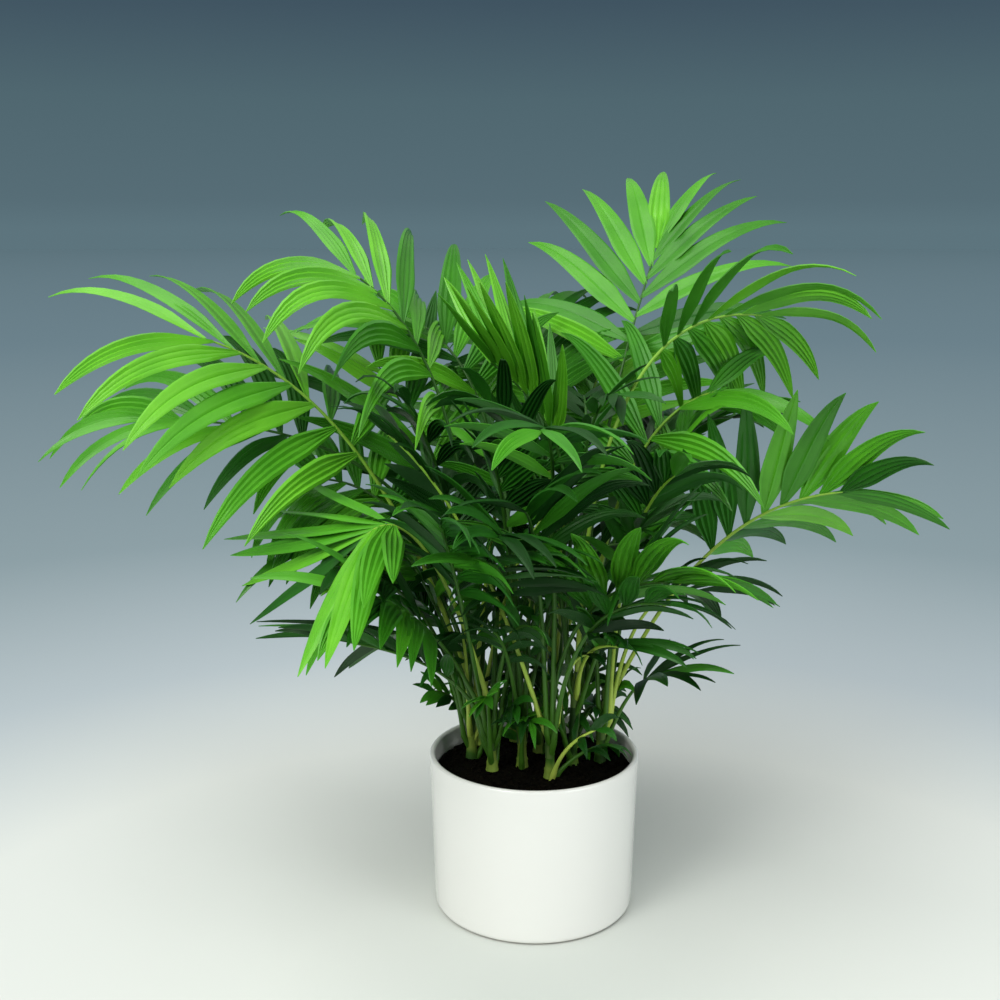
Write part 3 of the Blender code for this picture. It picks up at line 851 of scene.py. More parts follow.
def stem_point(stem: Stem, share: float) -> Vector:
    """A point on a stem's axis, which splays outwards from the clump.

    Args:
        stem: The stem.
        share: The share of its height.

    Returns:
        The point.
    """
    outward = Vector((stem.x - HABIT.clump_x, stem.y - HABIT.clump_y, 0.0))
    splay = HABIT.stem_splay * stem.height * outward.length / HABIT.pot_radius
    foot = Vector((stem.x, stem.y, HABIT.soil_top + HABIT.soil_crown + HABIT.seat_gap))
    return foot + WORLD_UP * (stem.height * share) + outward.normalized() * (splay * share * share)


def stem_radius(share: float) -> float:
    """A stem's radius above its flared foot, at a share of its height."""
    return blend(HABIT.stem_radius_low, HABIT.stem_radius_tip, share)


def next_stem(compass: float, loads: dict) -> Stem:
    """The stem for a frond of a ring: the furthest out on its side, unless that carries many already.

    Args:
        compass: Where the frond points.
        loads: How many fronds each stem carries, by name.

    Returns:
        The stem.
    """
    out = heading(compass)

    def suits(stem: Stem) -> float:
        """How well a stem suits the frond."""
        side = out.x * (stem.x - HABIT.clump_x) + out.y * (stem.y - HABIT.clump_y)
        return side - HABIT.busy_penalty * loads[stem.name]

    return max(STEMS, key=suits)


def drawn_frond(rng: random.Random, sizes: Sizes, **placed: object) -> Frond:
    """A frond whose sizes are drawn from the ranges of its group.

    Args:
        rng: The draw.
        sizes: The group's ranges.
        **placed: The frond's name, stem, seed and place.

    Returns:
        The frond.
    """
    return Frond(
        **placed,
        knee_out=rng.uniform(*sizes.knee_out),
        knee_up=placed["rise"] * rng.uniform(*sizes.knee_up),
        swing=rng.uniform(*sizes.swing),
        roll=rng.uniform(*sizes.roll),
        bare=rng.uniform(*sizes.bare),
        pairs=rng.randint(*sizes.pairs),
        leaf=rng.uniform(*sizes.leaf),
        width=sizes.width if isinstance(sizes.width, float) else rng.uniform(*sizes.width),
        spread=(rng.uniform(*sizes.spread_low), rng.uniform(*sizes.spread_tip)),
        lift=rng.uniform(*sizes.lift),
        hang=rng.uniform(*sizes.hang),
        sickle=rng.uniform(*sizes.sickle),
    )


def all_fronds() -> list:
    """The outer fronds, and then the rings from the top of the crown down to its core.

    Returns:
        Every frond of the plant.
    """
    fronds = list(OUTER_FRONDS)
    loads = {stem.name: 0 for stem in STEMS}
    for frond in fronds:
        loads[frond.stem] += 1
    for ring in RINGS:
        for number, spot in enumerate(ring.places, start=1):
            stem = next_stem(spot.compass, loads)
            level = HABIT.first_leaves_at - HABIT.leaves_step * loads[stem.name]
            loads[stem.name] += 1
            fronds.append(drawn_frond(
                random.Random(spot.seed),
                ring,
                name=f"frond_{ring.name}_{number}",
                stem=stem.name,
                leaves_at=max(HABIT.lowest_leaves_at, level),
                seed=spot.seed,
                compass=spot.compass,
                reach=spot.reach,
                rise=spot.rise,
            ))
    return fronds


@dataclass(frozen=True, kw_only=True)
class Brood(Sizes):
    """Short fronds, too fine for solids of their own: how many, and where they may stand."""

    count: int
    seed: int
    compass: tuple
    leaves_at: tuple
    reach: tuple
    rise: tuple
    knee_out: tuple = (0.20, 0.45)
    knee_up: tuple = (0.7, 1.1)
    swing: tuple = (-30.0, 30.0)
    roll: tuple = (-45.0, 45.0)
    spread_low: tuple = (50.0, 72.0)
    spread_tip: tuple = (18.0, 36.0)
    lift: tuple = (0.0, 25.0)
    sickle: tuple = (0.0, 0.14)


# Spreads any number of fronds evenly over a brood's part of the compass
GOLDEN_SHARE = 0.3819
FIRST_BROOD_SEED = 200

BROODS = (
    Brood(
        name="young", count=36, seed=8, compass=(-60.0, 240.0), leaves_at=(0.25, 0.95), reach=(0.030, 0.105),
        rise=(0.050, 0.205), bare=(0.45, 0.66), pairs=(4, 6), leaf=(0.038, 0.064), width=(0.0070, 0.0092),
        hang=(0.3, 1.2),
    ),
    Brood(
        name="heart", count=22, seed=3, compass=(205.0, 335.0), leaves_at=(0.35, 0.95), reach=(0.014, 0.040),
        rise=(0.018, 0.085), bare=(0.35, 0.55), pairs=(3, 5), leaf=(0.026, 0.046), width=(0.0060, 0.0082),
        hang=(0.3, 1.3),
    ),
    Brood(
        name="sprout", count=30, seed=4, compass=(0.0, 360.0), leaves_at=(0.03, 0.30), reach=(0.012, 0.034),
        rise=(0.010, 0.050), bare=(0.45, 0.70), pairs=(2, 4), leaf=(0.020, 0.036), width=(0.0052, 0.0072),
        hang=(0.2, 1.0),
    ),
    Brood(
        name="crest", count=16, seed=6, compass=(10.0, 215.0), leaves_at=(0.60, 0.98), reach=(0.060, 0.125),
        rise=(0.150, 0.225), bare=(0.48, 0.60), pairs=(5, 6), leaf=(0.062, 0.090), width=(0.0110, 0.0140),
        hang=(0.3, 0.9),
    ),
)


def brood_fronds(brood: Brood) -> list:
    """The fronds of a brood, spread evenly over its part of the compass.

    Args:
        brood: The brood.

    Returns:
        Its fronds.
    """
    rng = random.Random(brood.seed)
    fronds = []
    for number in range(brood.count):
        rise = rng.uniform(*brood.rise)
        fronds.append(drawn_frond(
            rng,
            brood,
            name=f"{brood.name}_{number + 1}",
            stem=STEMS[number % len(STEMS)].name,
            leaves_at=rng.uniform(*brood.leaves_at),
            seed=FIRST_BROOD_SEED + number,
            compass=blend(*brood.compass, (GOLDEN_SHARE * number) % 1.0),
            reach=rng.uniform(*brood.reach),
            rise=rise,
        ))
    return fronds


def skin(stations: int, sides: int) -> list:
    """The triangles between neighbouring stations of a limb, whose corners are listed in turn."""
    faces = []
    for low in range(0, sides * (stations - 1), sides):
        for edge in range(sides):
            here, there = low + edge, low + (edge + 1) % sides
            faces += [(here, there, here + sides), (there, there + sides, here + sides)]
    return faces


class Rib:
    """The line of a frond's stalk and midrib, and the frame that its leaflets stand in."""

    def __init__(self, frond: Frond) -> None:
        """Places the foot on its stem, and the knee and tip from there."""
        stem = STEM_NAMED[frond.stem]
        out = heading(frond.compass)
        self.frond = frond
        self.foot = stem_point(stem, frond.leaves_at)
        if frond.leaves_at < 1.0:
            self.foot += out * (stem_radius(frond.leaves_at) + HABIT.rib_radius_foot + 2 * HABIT.seat_gap)
        else:
            # A leaning stalk sits a little higher, so that its edge clears the stem's flat tip
            slant = math.hypot(frond.reach * frond.knee_out, frond.knee_up)
            tilt = abs(frond.reach * frond.knee_out) / slant
            self.foot += WORLD_UP * (2 * HABIT.seat_gap + (HABIT.rib_radius_foot + HABIT.clearance) * tilt)
        self.knee = self.foot + out * (frond.reach * frond.knee_out) + WORLD_UP * frond.knee_up
        self.tip = self.foot + heading(frond.compass + frond.swing) * frond.reach + WORLD_UP * frond.rise

    def point(self, share: float) -> Vector:
        """A point on the rib: a quadratic arc from foot to tip that bends towards the knee."""
        rest = 1.0 - share
        return self.foot * (rest * rest) + self.knee * (2.0 * share * rest) + self.tip * (share * share)

    def along(self, share: float) -> Vector:
        """The rib's direction at a share of its length."""
        step = (self.knee - self.foot) * (1.0 - share) + (self.tip - self.knee) * share
        return step.normalized()

    def axes(self, share: float) -> tuple:
        """The directions along the rib, to its left and out of the frond's upper face."""
        along = self.along(share)
        left = heading(self.frond.compass + self.frond.swing * share + 90.0)
        left = (left - along * left.dot(along)).normalized()
        up = along.cross(left)
        turn = Matrix.Rotation(math.radians(self.frond.roll), 3, along)
        return along, turn @ left, turn @ up

    def radius(self, share: float) -> float:
        """The rib's radius at a share of its length."""
        return blend(HABIT.rib_radius_foot, HABIT.rib_radius_tip, share)

    def hull(self, spare: float) -> tuple:
        """Corners and triangles of a plain tube along the rib, grown by spare."""
        corners = []
        for step in range(HABIT.rib_points):
            share = step / (HABIT.rib_points - 1)
            _, left, up = self.axes(share)
            reach = self.radius(share) + spare
            centre = self.point(share)
            side, rise = left * reach, up * reach
            corners += [centre + side, centre + rise, centre - side, centre - rise]
        return corners, skin(HABIT.rib_points, 4)

    def leaflets(self) -> list:
        """The leaflets, in pairs that alternate a little, from the bottom of the blade to its tip.

        Returns:
            The leaflets, left and right in turn.
        """
        frond = self.frond
        rng = random.Random(frond.seed)
        leaflets = []
        for pair in range(frond.pairs):
            for side in (1.0, -1.0):
                jitter = [rng.uniform(-1.0, 1.0) for _ in range(6)]
                stagger = HABIT.pair_stagger if side < 0.0 else 0.0
                place = min(1.0, (pair + stagger) / (frond.pairs - 1.0 + HABIT.pair_stagger))
                share = frond.bare + (1.0 - frond.bare) * place * HABIT.last_leaflet
                along, left, up = self.axes(share)
                spread = math.radians(
                    blend(frond.spread[0], frond.spread[1], place) + HABIT.spread_jitter * jitter[0]
                )
                lift = math.radians(frond.lift + HABIT.lift_jitter * jitter[1])
                outward = left * (side * math.cos(lift)) + up * math.sin(lift)
                aim = (along * math.cos(spread) + outward * math.sin(spread)).normalized()
                arc = math.sin(math.pi * (HABIT.size_start + HABIT.size_span * place))
                size = blend(HABIT.short_leaflet, 1.0, arc)
                weight = blend(HABIT.steep_hang, 1.0, math.hypot(aim.x, aim.y))
                leaflets.append(Leaflet(
                    root=self.point(share),
                    aim=aim,
                    along=along,
                    normal=(up * math.cos(lift) - left * (side * math.sin(lift))).normalized(),
                    length=frond.leaf * size * (1.0 + HABIT.length_jitter * jitter[2]),
                    width=frond.width * blend(HABIT.slim_leaflet, 1.0, math.sin(math.pi * place)),
                    hang=frond.hang * (1.0 + HABIT.hang_jitter * jitter[3]) * weight,
                    sickle=frond.sickle * (1.0 + HABIT.sickle_jitter * jitter[4]),
                    twist=HABIT.twist_jitter * jitter[5],
                ))
        return leaflets


def leaflet_direction(leaflet: Leaflet, share: float) -> Vector:
    """The direction of a leaflet's midline: it curves towards the frond's tip and sinks by its weight."""
    curl = leaflet.along * (2.0 * leaflet.sickle * share)
    sink = WORLD_UP * (2.0 * leaflet.hang * share ** HABIT.hang_power)
    return (leaflet.aim + curl - sink).normalized()


def leaflet_half_width(leaflet: Leaflet, share: float) -> float:
    """Half the blade's width at a share of its length: narrow root, full middle, drawn-out point."""
    foot = min(1.0, HABIT.blade_foot + HABIT.blade_widening * share)
    point = max(0.0, 1.0 - share ** HABIT.blade_point) ** HABIT.blade_rounding
    return 0.5 * leaflet.width * foot * point


def leaflet_sections(leaflet: Leaflet) -> list:
    """Centre, cross direction and face direction of a blade, at each step of its length."""
    sections = []
    centre = leaflet.root.copy()
    for step in range(HABIT.spine_steps + 1):
        share = step / HABIT.spine_steps
        along = leaflet_direction(leaflet, share)
        across = leaflet.normal.cross(along).normalized()
        face = along.cross(across)
        turn = leaflet.twist * share
        sections.append((
            centre.copy(),
            across * math.cos(turn) + face * math.sin(turn),
            face * math.cos(turn) - across * math.sin(turn),
        ))
        centre += leaflet_direction(leaflet, share + 0.5 / HABIT.spine_steps) * (
            leaflet.length / HABIT.spine_steps
        )
    return sections


def blade_hull(leaflet: Leaflet, spare: float) -> tuple:
    """Corners and triangles of the plain three-sided blade that a leaflet's solid is, grown by spare."""
    sections = leaflet_sections(leaflet)
    stations = HABIT.blade_stations if leaflet.length > HABIT.small_leaflet else HABIT.small_stations
    corners = []
    for station in stations:
        centre = sections[station][0]
        across, face = sections[max(station, stations[1])][1:]
        share = station / HABIT.spine_steps
        half = leaflet_half_width(leaflet, share) if station else HABIT.blade_root
        keel = HABIT.blade_thickness if station else HABIT.blade_root
        corners.append(centre + across * (half + 2.0 * spare) + face * spare)
        corners.append(centre - across * (half + 2.0 * spare) + face * spare)
        corners.append(centre - face * (keel + spare))
    corners.append(sections[-1][0] + leaflet_direction(leaflet, 1.0) * spare)
    last = len(corners) - 1
    faces = [(0, 2, 1)] + skin(len(stations), 3)
    faces += [(last - 3 + edge, last - 3 + (edge + 1) % 3, last) for edge in range(3)]
    return corners, faces


class Crown:
    """What already stands in the crown, so that the next piece can be kept clear of it."""

    def __init__(self) -> None:
        """Starts with nothing in the crown."""
        self.owners = []
        self.boxes = []
        self.trees = []

    def add(self, owner: str, corners: list, faces: list) -> None:
        """Marks a piece's space as taken."""
        points = np.array([tuple(corner) for corner in corners])
        self.owners.append(owner)
        self.boxes.append(np.concatenate([points.min(axis=0), points.max(axis=0)]))
        self.trees.append(BVHTree.FromPolygons([tuple(corner) for corner in corners], faces))

    def add_node(self, name: str) -> None:
        """Marks the space of a solid of the frame as taken."""
        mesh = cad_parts[name].data
        corners = [vertex.co.copy() for vertex in mesh.vertices]
        self.add(name, corners, [tuple(polygon.vertices) for polygon in mesh.polygons])

    def is_clear(self, owner: str, corners: list, faces: list) -> bool:
        """Whether a piece meets nothing but the other pieces of its own frond."""
        points = np.array([tuple(corner) for corner in corners])
        low, high = points.min(axis=0), points.max(axis=0)
        boxes = np.array(self.boxes)
        near = np.all(boxes[:, :3] <= high, axis=1) & np.all(boxes[:, 3:] >= low, axis=1)
        tree = None
        for index in np.nonzero(near)[0]:
            if self.owners[index] == owner:
                continue
            if tree is None:
                tree = BVHTree.FromPolygons([tuple(corner) for corner in corners], faces)
            if tree.overlap(self.trees[index]):
                return False
        return True

    def rib_for(self, frond: Frond) -> Rib | None:
        """The rib of a frond, turned a few degrees about its stem where its first place is taken."""
        for turn in HABIT.rib_turns:
            rib = Rib(replace(frond, compass=frond.compass + turn))
            corners, faces = rib.hull(HABIT.clearance)
            if self.is_clear(frond.name, corners, faces):
                self.add(frond.name, corners, faces)
                return rib
        return None

    def leaflets_for(self, rib: Rib) -> list:
        """A rib's leaflets, each tilted or shortened until it touches no other frond, or left out."""
        kept = []
        for leaflet in rib.leaflets():
            for share, angle in HABIT.leaflet_tries:
                moved = tilted(leaflet, angle, share)
                corners, faces = blade_hull(moved, HABIT.clearance)
                if self.is_clear(rib.frond.name, corners, faces):
                    self.add(rib.frond.name, corners, faces)
                    kept.append(moved)
                    break
        return kept


def tilted(leaflet: Leaflet, angle: float, share: float) -> Leaflet:
    """The leaflet raised by an angle in degrees and cut to a share of its length."""
    hinge = leaflet.normal.cross(leaflet.aim).normalized()
    turn = Matrix.Rotation(math.radians(angle), 3, hinge)
    aim, normal = turn @ leaflet.aim, turn @ leaflet.normal
    return replace(leaflet, aim=aim, normal=normal, length=leaflet.length * share)


# The pieces


@dataclass
class Pot:
    """The glazed pot: a cylinder that narrows a little to its foot, with a rounded lip."""

    radius: float = 0.070
    foot_radius: float = 0.067
    height: float = 0.107
    wall: float = 0.0036
    floor: float = 0.006
    rounding: float = 0.004
    corner: float = 0.003
    standing_ring: float = 0.005
    foot_groove: float = 0.0012
    steps: int = 144
    finish: GlazeFinish = field(default_factory=GlazeFinish)

    def inner_radius(self, height: float) -> float:
        """The inner wall's radius at a height."""
        return blend(self.foot_radius, self.radius, height / self.height) - self.wall

    def profile(self) -> list:
        """The wall's outline in (radius, height), from the inner floor over the lip to the underside.

        Returns:
            The outline's points.
        """
        lip = self.wall / 2
        inside = self.inner_radius(self.floor) - self.corner
        points = [(0.0, self.floor), (inside, self.floor)]
        points += arc_points((inside, self.floor + self.corner), self.corner, -90.0, 0.0, 4)
        for step in range(1, 12):
            height = blend(self.floor + self.corner, self.height - 2 * lip, step / 12)
            points.append((self.inner_radius(height), height))
        points += arc_points((self.radius - lip, self.height - lip), lip, 180.0, 0.0, 12)
        for step in range(1, 14):
            height = blend(self.height - 2 * lip, self.rounding, step / 14)
            points.append((blend(self.foot_radius, self.radius, height / self.height), height))
        points += arc_points((self.foot_radius - self.rounding, self.rounding), self.rounding, 0.0, -90.0, 8)
        inner = self.foot_radius - self.rounding - self.standing_ring
        points += [(inner, 0.0), (inner - self.foot_groove, self.foot_groove), (0.0, self.foot_groove)]
        return points

    def build(self) -> bpy.types.Object:
        """Spins the outline into the pot.

        Returns:
            The pot.
        """
        shape = bmesh.new()
        corners = [shape.verts.new((radius, 0.0, height)) for radius, height in self.profile()]
        edges = [shape.edges.new(pair) for pair in zip(corners, corners[1:])]
        bmesh.ops.spin(
            shape, geom=corners + edges, cent=(0, 0, 0), axis=(0, 0, 1), angle=math.tau,
            steps=self.steps, use_merge=True,
        )
        bmesh.ops.remove_doubles(shape, verts=shape.verts, dist=0.00001)
        bmesh.ops.recalc_face_normals(shape, faces=shape.faces)
        smooth_with_sharp_rims(shape, math.radians(50))
        pot = finished("pot_glazed", shape, self.finish.make())
        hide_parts("pot")
        return pot


@dataclass
class Soil:
    """Potting soil: an uneven crumbly top with loose crumbs and bark on it."""

    radius: float = 0.0650
    top: float = 0.0950
    floor: float = 0.0066
    unevenness: float = 0.0016
    crumbs: int = 900
    crumb_size: tuple = (0.0007, 0.0022)
    seed: int = 5
    finish: SoilFinish = field(default_factory=SoilFinish)

    def height(self, x: float, y: float) -> float:
        """The soil's surface at a place: higher towards the canes, in soft lumps."""
        reach = math.hypot(x, y) / self.radius
        lumps = math.sin(190 * x + 1.3) * math.cos(170 * y) + 0.6 * math.sin(410 * x - 290 * y)
        lumps += 0.5 * math.cos(620 * y + 180 * x)
        return self.top + 0.0018 * (1.0 - reach ** 3) + self.unevenness * 0.35 * lumps

    def build(self) -> bpy.types.Object:
        """Makes the plug's rough top, its side and its crumbs.

        Returns:
            The soil.
        """
        shape = bmesh.new()
        rings = 34
        made = bmesh.ops.create_circle(shape, cap_ends=True, segments=96, radius=self.radius)
        face = made["verts"][0].link_faces[0]
        bmesh.ops.translate(shape, verts=made["verts"], vec=(0, 0, self.floor))
        side = bmesh.ops.extrude_face_region(shape, geom=[face], use_keep_orig=True)
        lifted = [item for item in side["geom"] if isinstance(item, bmesh.types.BMVert)]
        top = next(item for item in side["geom"] if isinstance(item, bmesh.types.BMFace))
        bmesh.ops.translate(shape, verts=lifted, vec=(0, 0, self.top - self.floor))
        for _ in range(rings):
            bmesh.ops.inset_individual(shape, faces=[top], thickness=self.radius / (rings + 1.5))
        rng = random.Random(self.seed)
        for vertex in shape.verts:
            if vertex.co.z > self.top - 0.0001:
                vertex.co.z = self.height(vertex.co.x, vertex.co.y) + rng.uniform(-0.0004, 0.0004)
        bmesh.ops.recalc_face_normals(shape, faces=shape.faces)
        self.scatter(shape, rng)
        for item in shape.faces:
            item.smooth = True
        soil = finished("soil_surface", shape, self.finish.make())
        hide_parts("soil")
        return soil

    def scatter(self, shape: bmesh.types.BMesh, rng: random.Random) -> None:
        """Lays crumbs and flakes of bark on the top.

        Args:
            shape: The soil's bmesh.
            rng: The draw of their places.
        """
        for _ in range(self.crumbs):
            reach = self.radius * 0.97 * math.sqrt(rng.random())
            place = heading(rng.uniform(0.0, 360.0)) * reach
            size = rng.uniform(*self.crumb_size)
            place.z = self.height(place.x, place.y) + size * rng.uniform(0.0, 0.5)
            turn = Matrix.Rotation(rng.uniform(0.0, math.tau), 4, Vector((rng.random(), rng.random(), 1.0)))
            shrink = Matrix.Diagonal((1.0, rng.uniform(0.5, 1.0), rng.uniform(0.35, 0.9), 1.0))
            bmesh.ops.create_icosphere(
                shape, subdivisions=1, radius=size, matrix=Matrix.Translation(place) @ turn @ shrink,
            )


@dataclass
class Canes:
    """The clump's canes: ringed by leaf scars, flared at the foot, with leaf sheaths round them."""

    sides: int = 20
    scar_spacing: float = 0.011
    scar_height: float = 0.0005
    steps: int = 40
    tip_share: float = 0.7
    sheath_levels: tuple = (0.30, 0.62, 0.86)
    sheath_wrap: tuple = (190.0, 300.0)
    sheath_height: tuple = (0.014, 0.022)
    sheath_gap: float = 0.0004
    sheath_flare: float = 0.0009
    sheath_thickness: float = 0.00025
    sheath_seed: int = 11
    finish: CaneFinish = field(default_factory=CaneFinish)
    sheath_finish: SheathFinish = field(default_factory=SheathFinish)

    def radius(self, stem: Stem, share: float) -> float:
        """A cane's radius at a share of its height, with its flare and scars.

        Args:
            stem: The cane.
            share: The share of its height.

        Returns:
            The radius.
        """
        height = share * stem.height
        base = stem_radius(share)
        if height < HABIT.stem_flare:
            base += (HABIT.stem_radius_foot - base) * (1.0 - height / HABIT.stem_flare) ** 1.5
        phase = (height / self.scar_spacing) % 1.0
        ridge = math.exp(-((phase - 0.5) / 0.07) ** 2)
        return base * 0.98 + self.scar_height * ridge

    def rings(self, stem: Stem) -> list:
        """The corners of a cane's sections, from foot to tip."""
        rings = []
        for step in range(self.steps + 1):
            share = step / self.steps
            centre = stem_point(stem, share)
            radius = self.radius(stem, share)
            if step == self.steps:
                radius *= self.tip_share
            rings.append([
                centre + heading(360.0 * side / self.sides) * radius for side in range(self.sides)
            ])
        return rings

    def build(self) -> bpy.types.Object:
        """Makes all the canes as one piece.

        Returns:
            The canes.
        """
        shape = bmesh.new()
        for stem in STEMS:
            grow_limb(shape, self.rings(stem))
        smooth_with_sharp_rims(shape, math.radians(60))
        canes = finished("canes", shape, self.finish.make())
        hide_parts(*[stem.name for stem in STEMS])
        return canes

    def sheaths(self) -> bpy.types.Object:
        """Makes the split sheaths that wrap each cane under its fronds.

        Returns:
            The sheaths.
        """
        shape = bmesh.new()
        rng = random.Random(self.sheath_seed)
        for stem in STEMS:
            for level in self.sheath_levels:
                start = rng.uniform(0.0, 360.0)
                wrap = rng.uniform(*self.sheath_wrap)
                tall = rng.uniform(*self.sheath_height)
                made = bmesh.ops.create_grid(shape, x_segments=10, y_segments=5, size=0.5)
                for vertex in made["verts"]:
                    across, up = vertex.co.x + 0.5, vertex.co.y + 0.5
                    lobe = 0.6 + 0.4 * math.sin(math.pi * across)
                    share = min(1.0, level + (up * tall * lobe) / stem.height)
                    radius = self.radius(stem, share) + self.sheath_gap + self.sheath_flare * up * up
                    ragged = self.sheath_gap * up * math.sin(23.0 * across + start)
                    vertex.co = stem_point(stem, share) + heading(start + wrap * across) * (radius + ragged)
        bmesh.ops.solidify(shape, geom=shape.faces[:], thickness=self.sheath_thickness)
        bmesh.ops.recalc_face_normals(shape, faces=shape.faces)
        smooth_with_sharp_rims(shape, math.radians(60))
        return finished("leaf_sheaths", shape, self.sheath_finish.make())


@dataclass
class Stalks:
    """The fronds' stalks and midribs: slim, grooved above, swollen where they clasp the cane."""

    sides: int = 10
    steps: int = 26
    groove: float = 0.22
    swelling: float = 0.25
    swelling_reach: float = 0.05
    root_depth: float = 0.011
    root_rings: int = 4
    pale: tuple = ("frond_left_low", "frond_left_far", "frond_right_low", "frond_right_arch")
    pale_share: float = 0.22
    yellow: StalkFinish = StalkFinish(
        "stalk_pale", low=(0.50, 0.62, 0.10), high=(0.22, 0.46, 0.040), streak=(0.18, 0.38, 0.03),
    )
    green: StalkFinish = StalkFinish(
        "stalk_green", low=(0.055, 0.165, 0.012), high=(0.030, 0.125, 0.010), streak=(0.012, 0.050, 0.005),
    )

    def ring(self, rib: Rib, share: float) -> list:
        """The corners of a stalk's section.

        Args:
            rib: The stalk's line.
            share: The share of its length.

        Returns:
            The corners.
        """
        _, left, up = rib.axes(share)
        radius = rib.radius(share) * (1.0 + self.swelling * math.exp(-share / self.swelling_reach))
        if share >= 1.0:
            radius *= 0.5
        corners = []
        for side in range(self.sides):
            angle = math.tau * side / self.sides
            dip = 1.0 - self.groove * max(0.0, math.sin(angle)) ** 4
            corners.append(
                rib.point(share) + left * (radius * math.cos(angle)) + up * (radius * math.sin(angle) * dip)
            )
        return corners

    def is_pale(self, frond: Frond) -> bool:
        """Whether a stalk is one of the yellow-green ones: those of the low outer fronds, and some others."""
        return frond.name in self.pale or random.Random(frond.seed * 5 + 1).random() < self.pale_share

    def lead_in(self, rib: Rib) -> list:
        """The corners of the stretch where a stalk grows out of its cane, below its foot."""
        stem = STEM_NAMED[rib.frond.stem]
        root = stem_point(stem, rib.frond.leaves_at) - WORLD_UP * self.root_depth
        foot = self.ring(rib, 0.0)
        rings = []
        for step in range(self.root_rings):
            way = step / self.root_rings
            shift = (root - rib.foot) * (1.0 - way) ** 1.5
            rings.append([corner + shift for corner in foot])
        return rings

    def build(self, ribs: list) -> None:
        """Makes the stalks, the pale ones apart from the rest.

        Args:
            ribs: The ribs of the plant.
        """
        for name, finish, pale in (("stalks_pale", self.yellow, True), ("stalks_green", self.green, False)):
            shape = bmesh.new()
            for rib in ribs:
                if self.is_pale(rib.frond) is pale:
                    line = [self.ring(rib, step / self.steps) for step in range(self.steps + 1)]
                    grow_limb(shape, self.lead_in(rib) + line)
            smooth_with_sharp_rims(shape, math.radians(60))
            finished(name, shape, finish.make())


@dataclass
class Foliage:
    """The fine leaflets: pleated lengthwise, folded a little along the midrib, drawn out to a point."""

    columns: int = 8
    short_leaflet: float = 0.050
    fold: float = 0.16
    pleat: float = 0.00068
    fullness: float = 1.22
    thickness: float = 0.00032
    edge_wave: float = 0.00035
    waves: float = 9.0
    least_half: float = 0.00012
    fold_power: float = 1.3

    def tone(self, frond: Frond) -> Tone:
        """The green that a frond is dealt by its place in the crown: lighter where it stands in the light and
        darker in the shaded heart, as painted light and shade.

        Args:
            frond: The frond.

        Returns:
            Its tone.
        """
        if frond.name in OUTER_TONES:
            return OUTER_TONES[frond.name]
        level = frond.name.split("_")[1 if frond.name.startswith("frond") else 0]
        return random.Random(frond.seed * 7).choice(RING_TONES[level])

    def leaflet_tones(self, frond: Frond, count: int) -> list:
        """The greens of a frond's leaflets: most its own, some a shade lighter or darker.

        Args:
            frond: The frond.
            count: How many leaflets it has.

        Returns:
            A tone for each leaflet.
        """
        order = list(Tone)
        own = order.index(self.tone(frond))
        rng = random.Random(frond.seed * 11 + 3)
        steps = rng.choices((-1, 0, 1, 2), weights=(13, 50, 24, 13), k=count)
        return [order[min(max(own + step, 0), len(order) - 1)] for step in steps]

    def add_leaflet(self, shape: bmesh.types.BMesh, leaflet: Leaflet) -> None:
        """Shapes one blade from a flat grid.

        Args:
            shape: The bmesh that it is added to.
            leaflet: The blade's line and sizes.
        """
        stride = 2 if leaflet.length < self.short_leaflet else 1
        sections = leaflet_sections(leaflet)[::stride]
        columns = self.columns // stride
        steps = HABIT.spine_steps // stride
        made = bmesh.ops.create_grid(shape, x_segments=columns, y_segments=steps, size=0.5, calc_uvs=True)
        for vertex in made["verts"]:
            across = round((vertex.co.x + 0.5) * columns)
            step = round((vertex.co.y + 0.5) * steps)
            share = step / steps
            side = 2.0 * across / columns - 1.0
            half = max(self.least_half, self.fullness * leaflet_half_width(leaflet, share))
            centre, left, face = sections[step]
            full = half / (0.5 * leaflet.width)
            pleat = self.pleat * full * (1.0 if across % 2 else -1.0) / stride
            wave = self.edge_wave * full * abs(side) * math.sin(self.waves * share + 40.0 * leaflet.twist)
            rise = self.fold * half * abs(side) ** self.fold_power + pleat + wave
            vertex.co = centre + left * (half * side) + face * rise

    def build(self, crowns: list) -> None:
        """Makes the leaflets of every frond, as one piece for each green.

        Args:
            crowns: Pairs of a rib and its leaflets.
        """
        shapes = {tone: bmesh.new() for tone in Tone}
        for shape in shapes.values():
            shape.loops.layers.uv.new("leaf")
        for rib, leaflets in crowns:
            for leaflet, tone in zip(leaflets, self.leaflet_tones(rib.frond, len(leaflets))):
                self.add_leaflet(shapes[tone], leaflet)
        for tone, shape in shapes.items():
            bmesh.ops.solidify(shape, geom=shape.faces[:], thickness=self.thickness)
            bmesh.ops.recalc_face_normals(shape, faces=shape.faces)
            smooth_with_sharp_rims(shape, math.radians(70))
            piece = finished(f"leaflets_{tone.value}", shape, LIT_AND_SHADED_LEAF_FINISHES[tone].make())
            solids = [rib.frond.name for rib, _ in crowns if self.tone(rib.frond) is tone]
            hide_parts(*[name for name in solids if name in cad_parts])


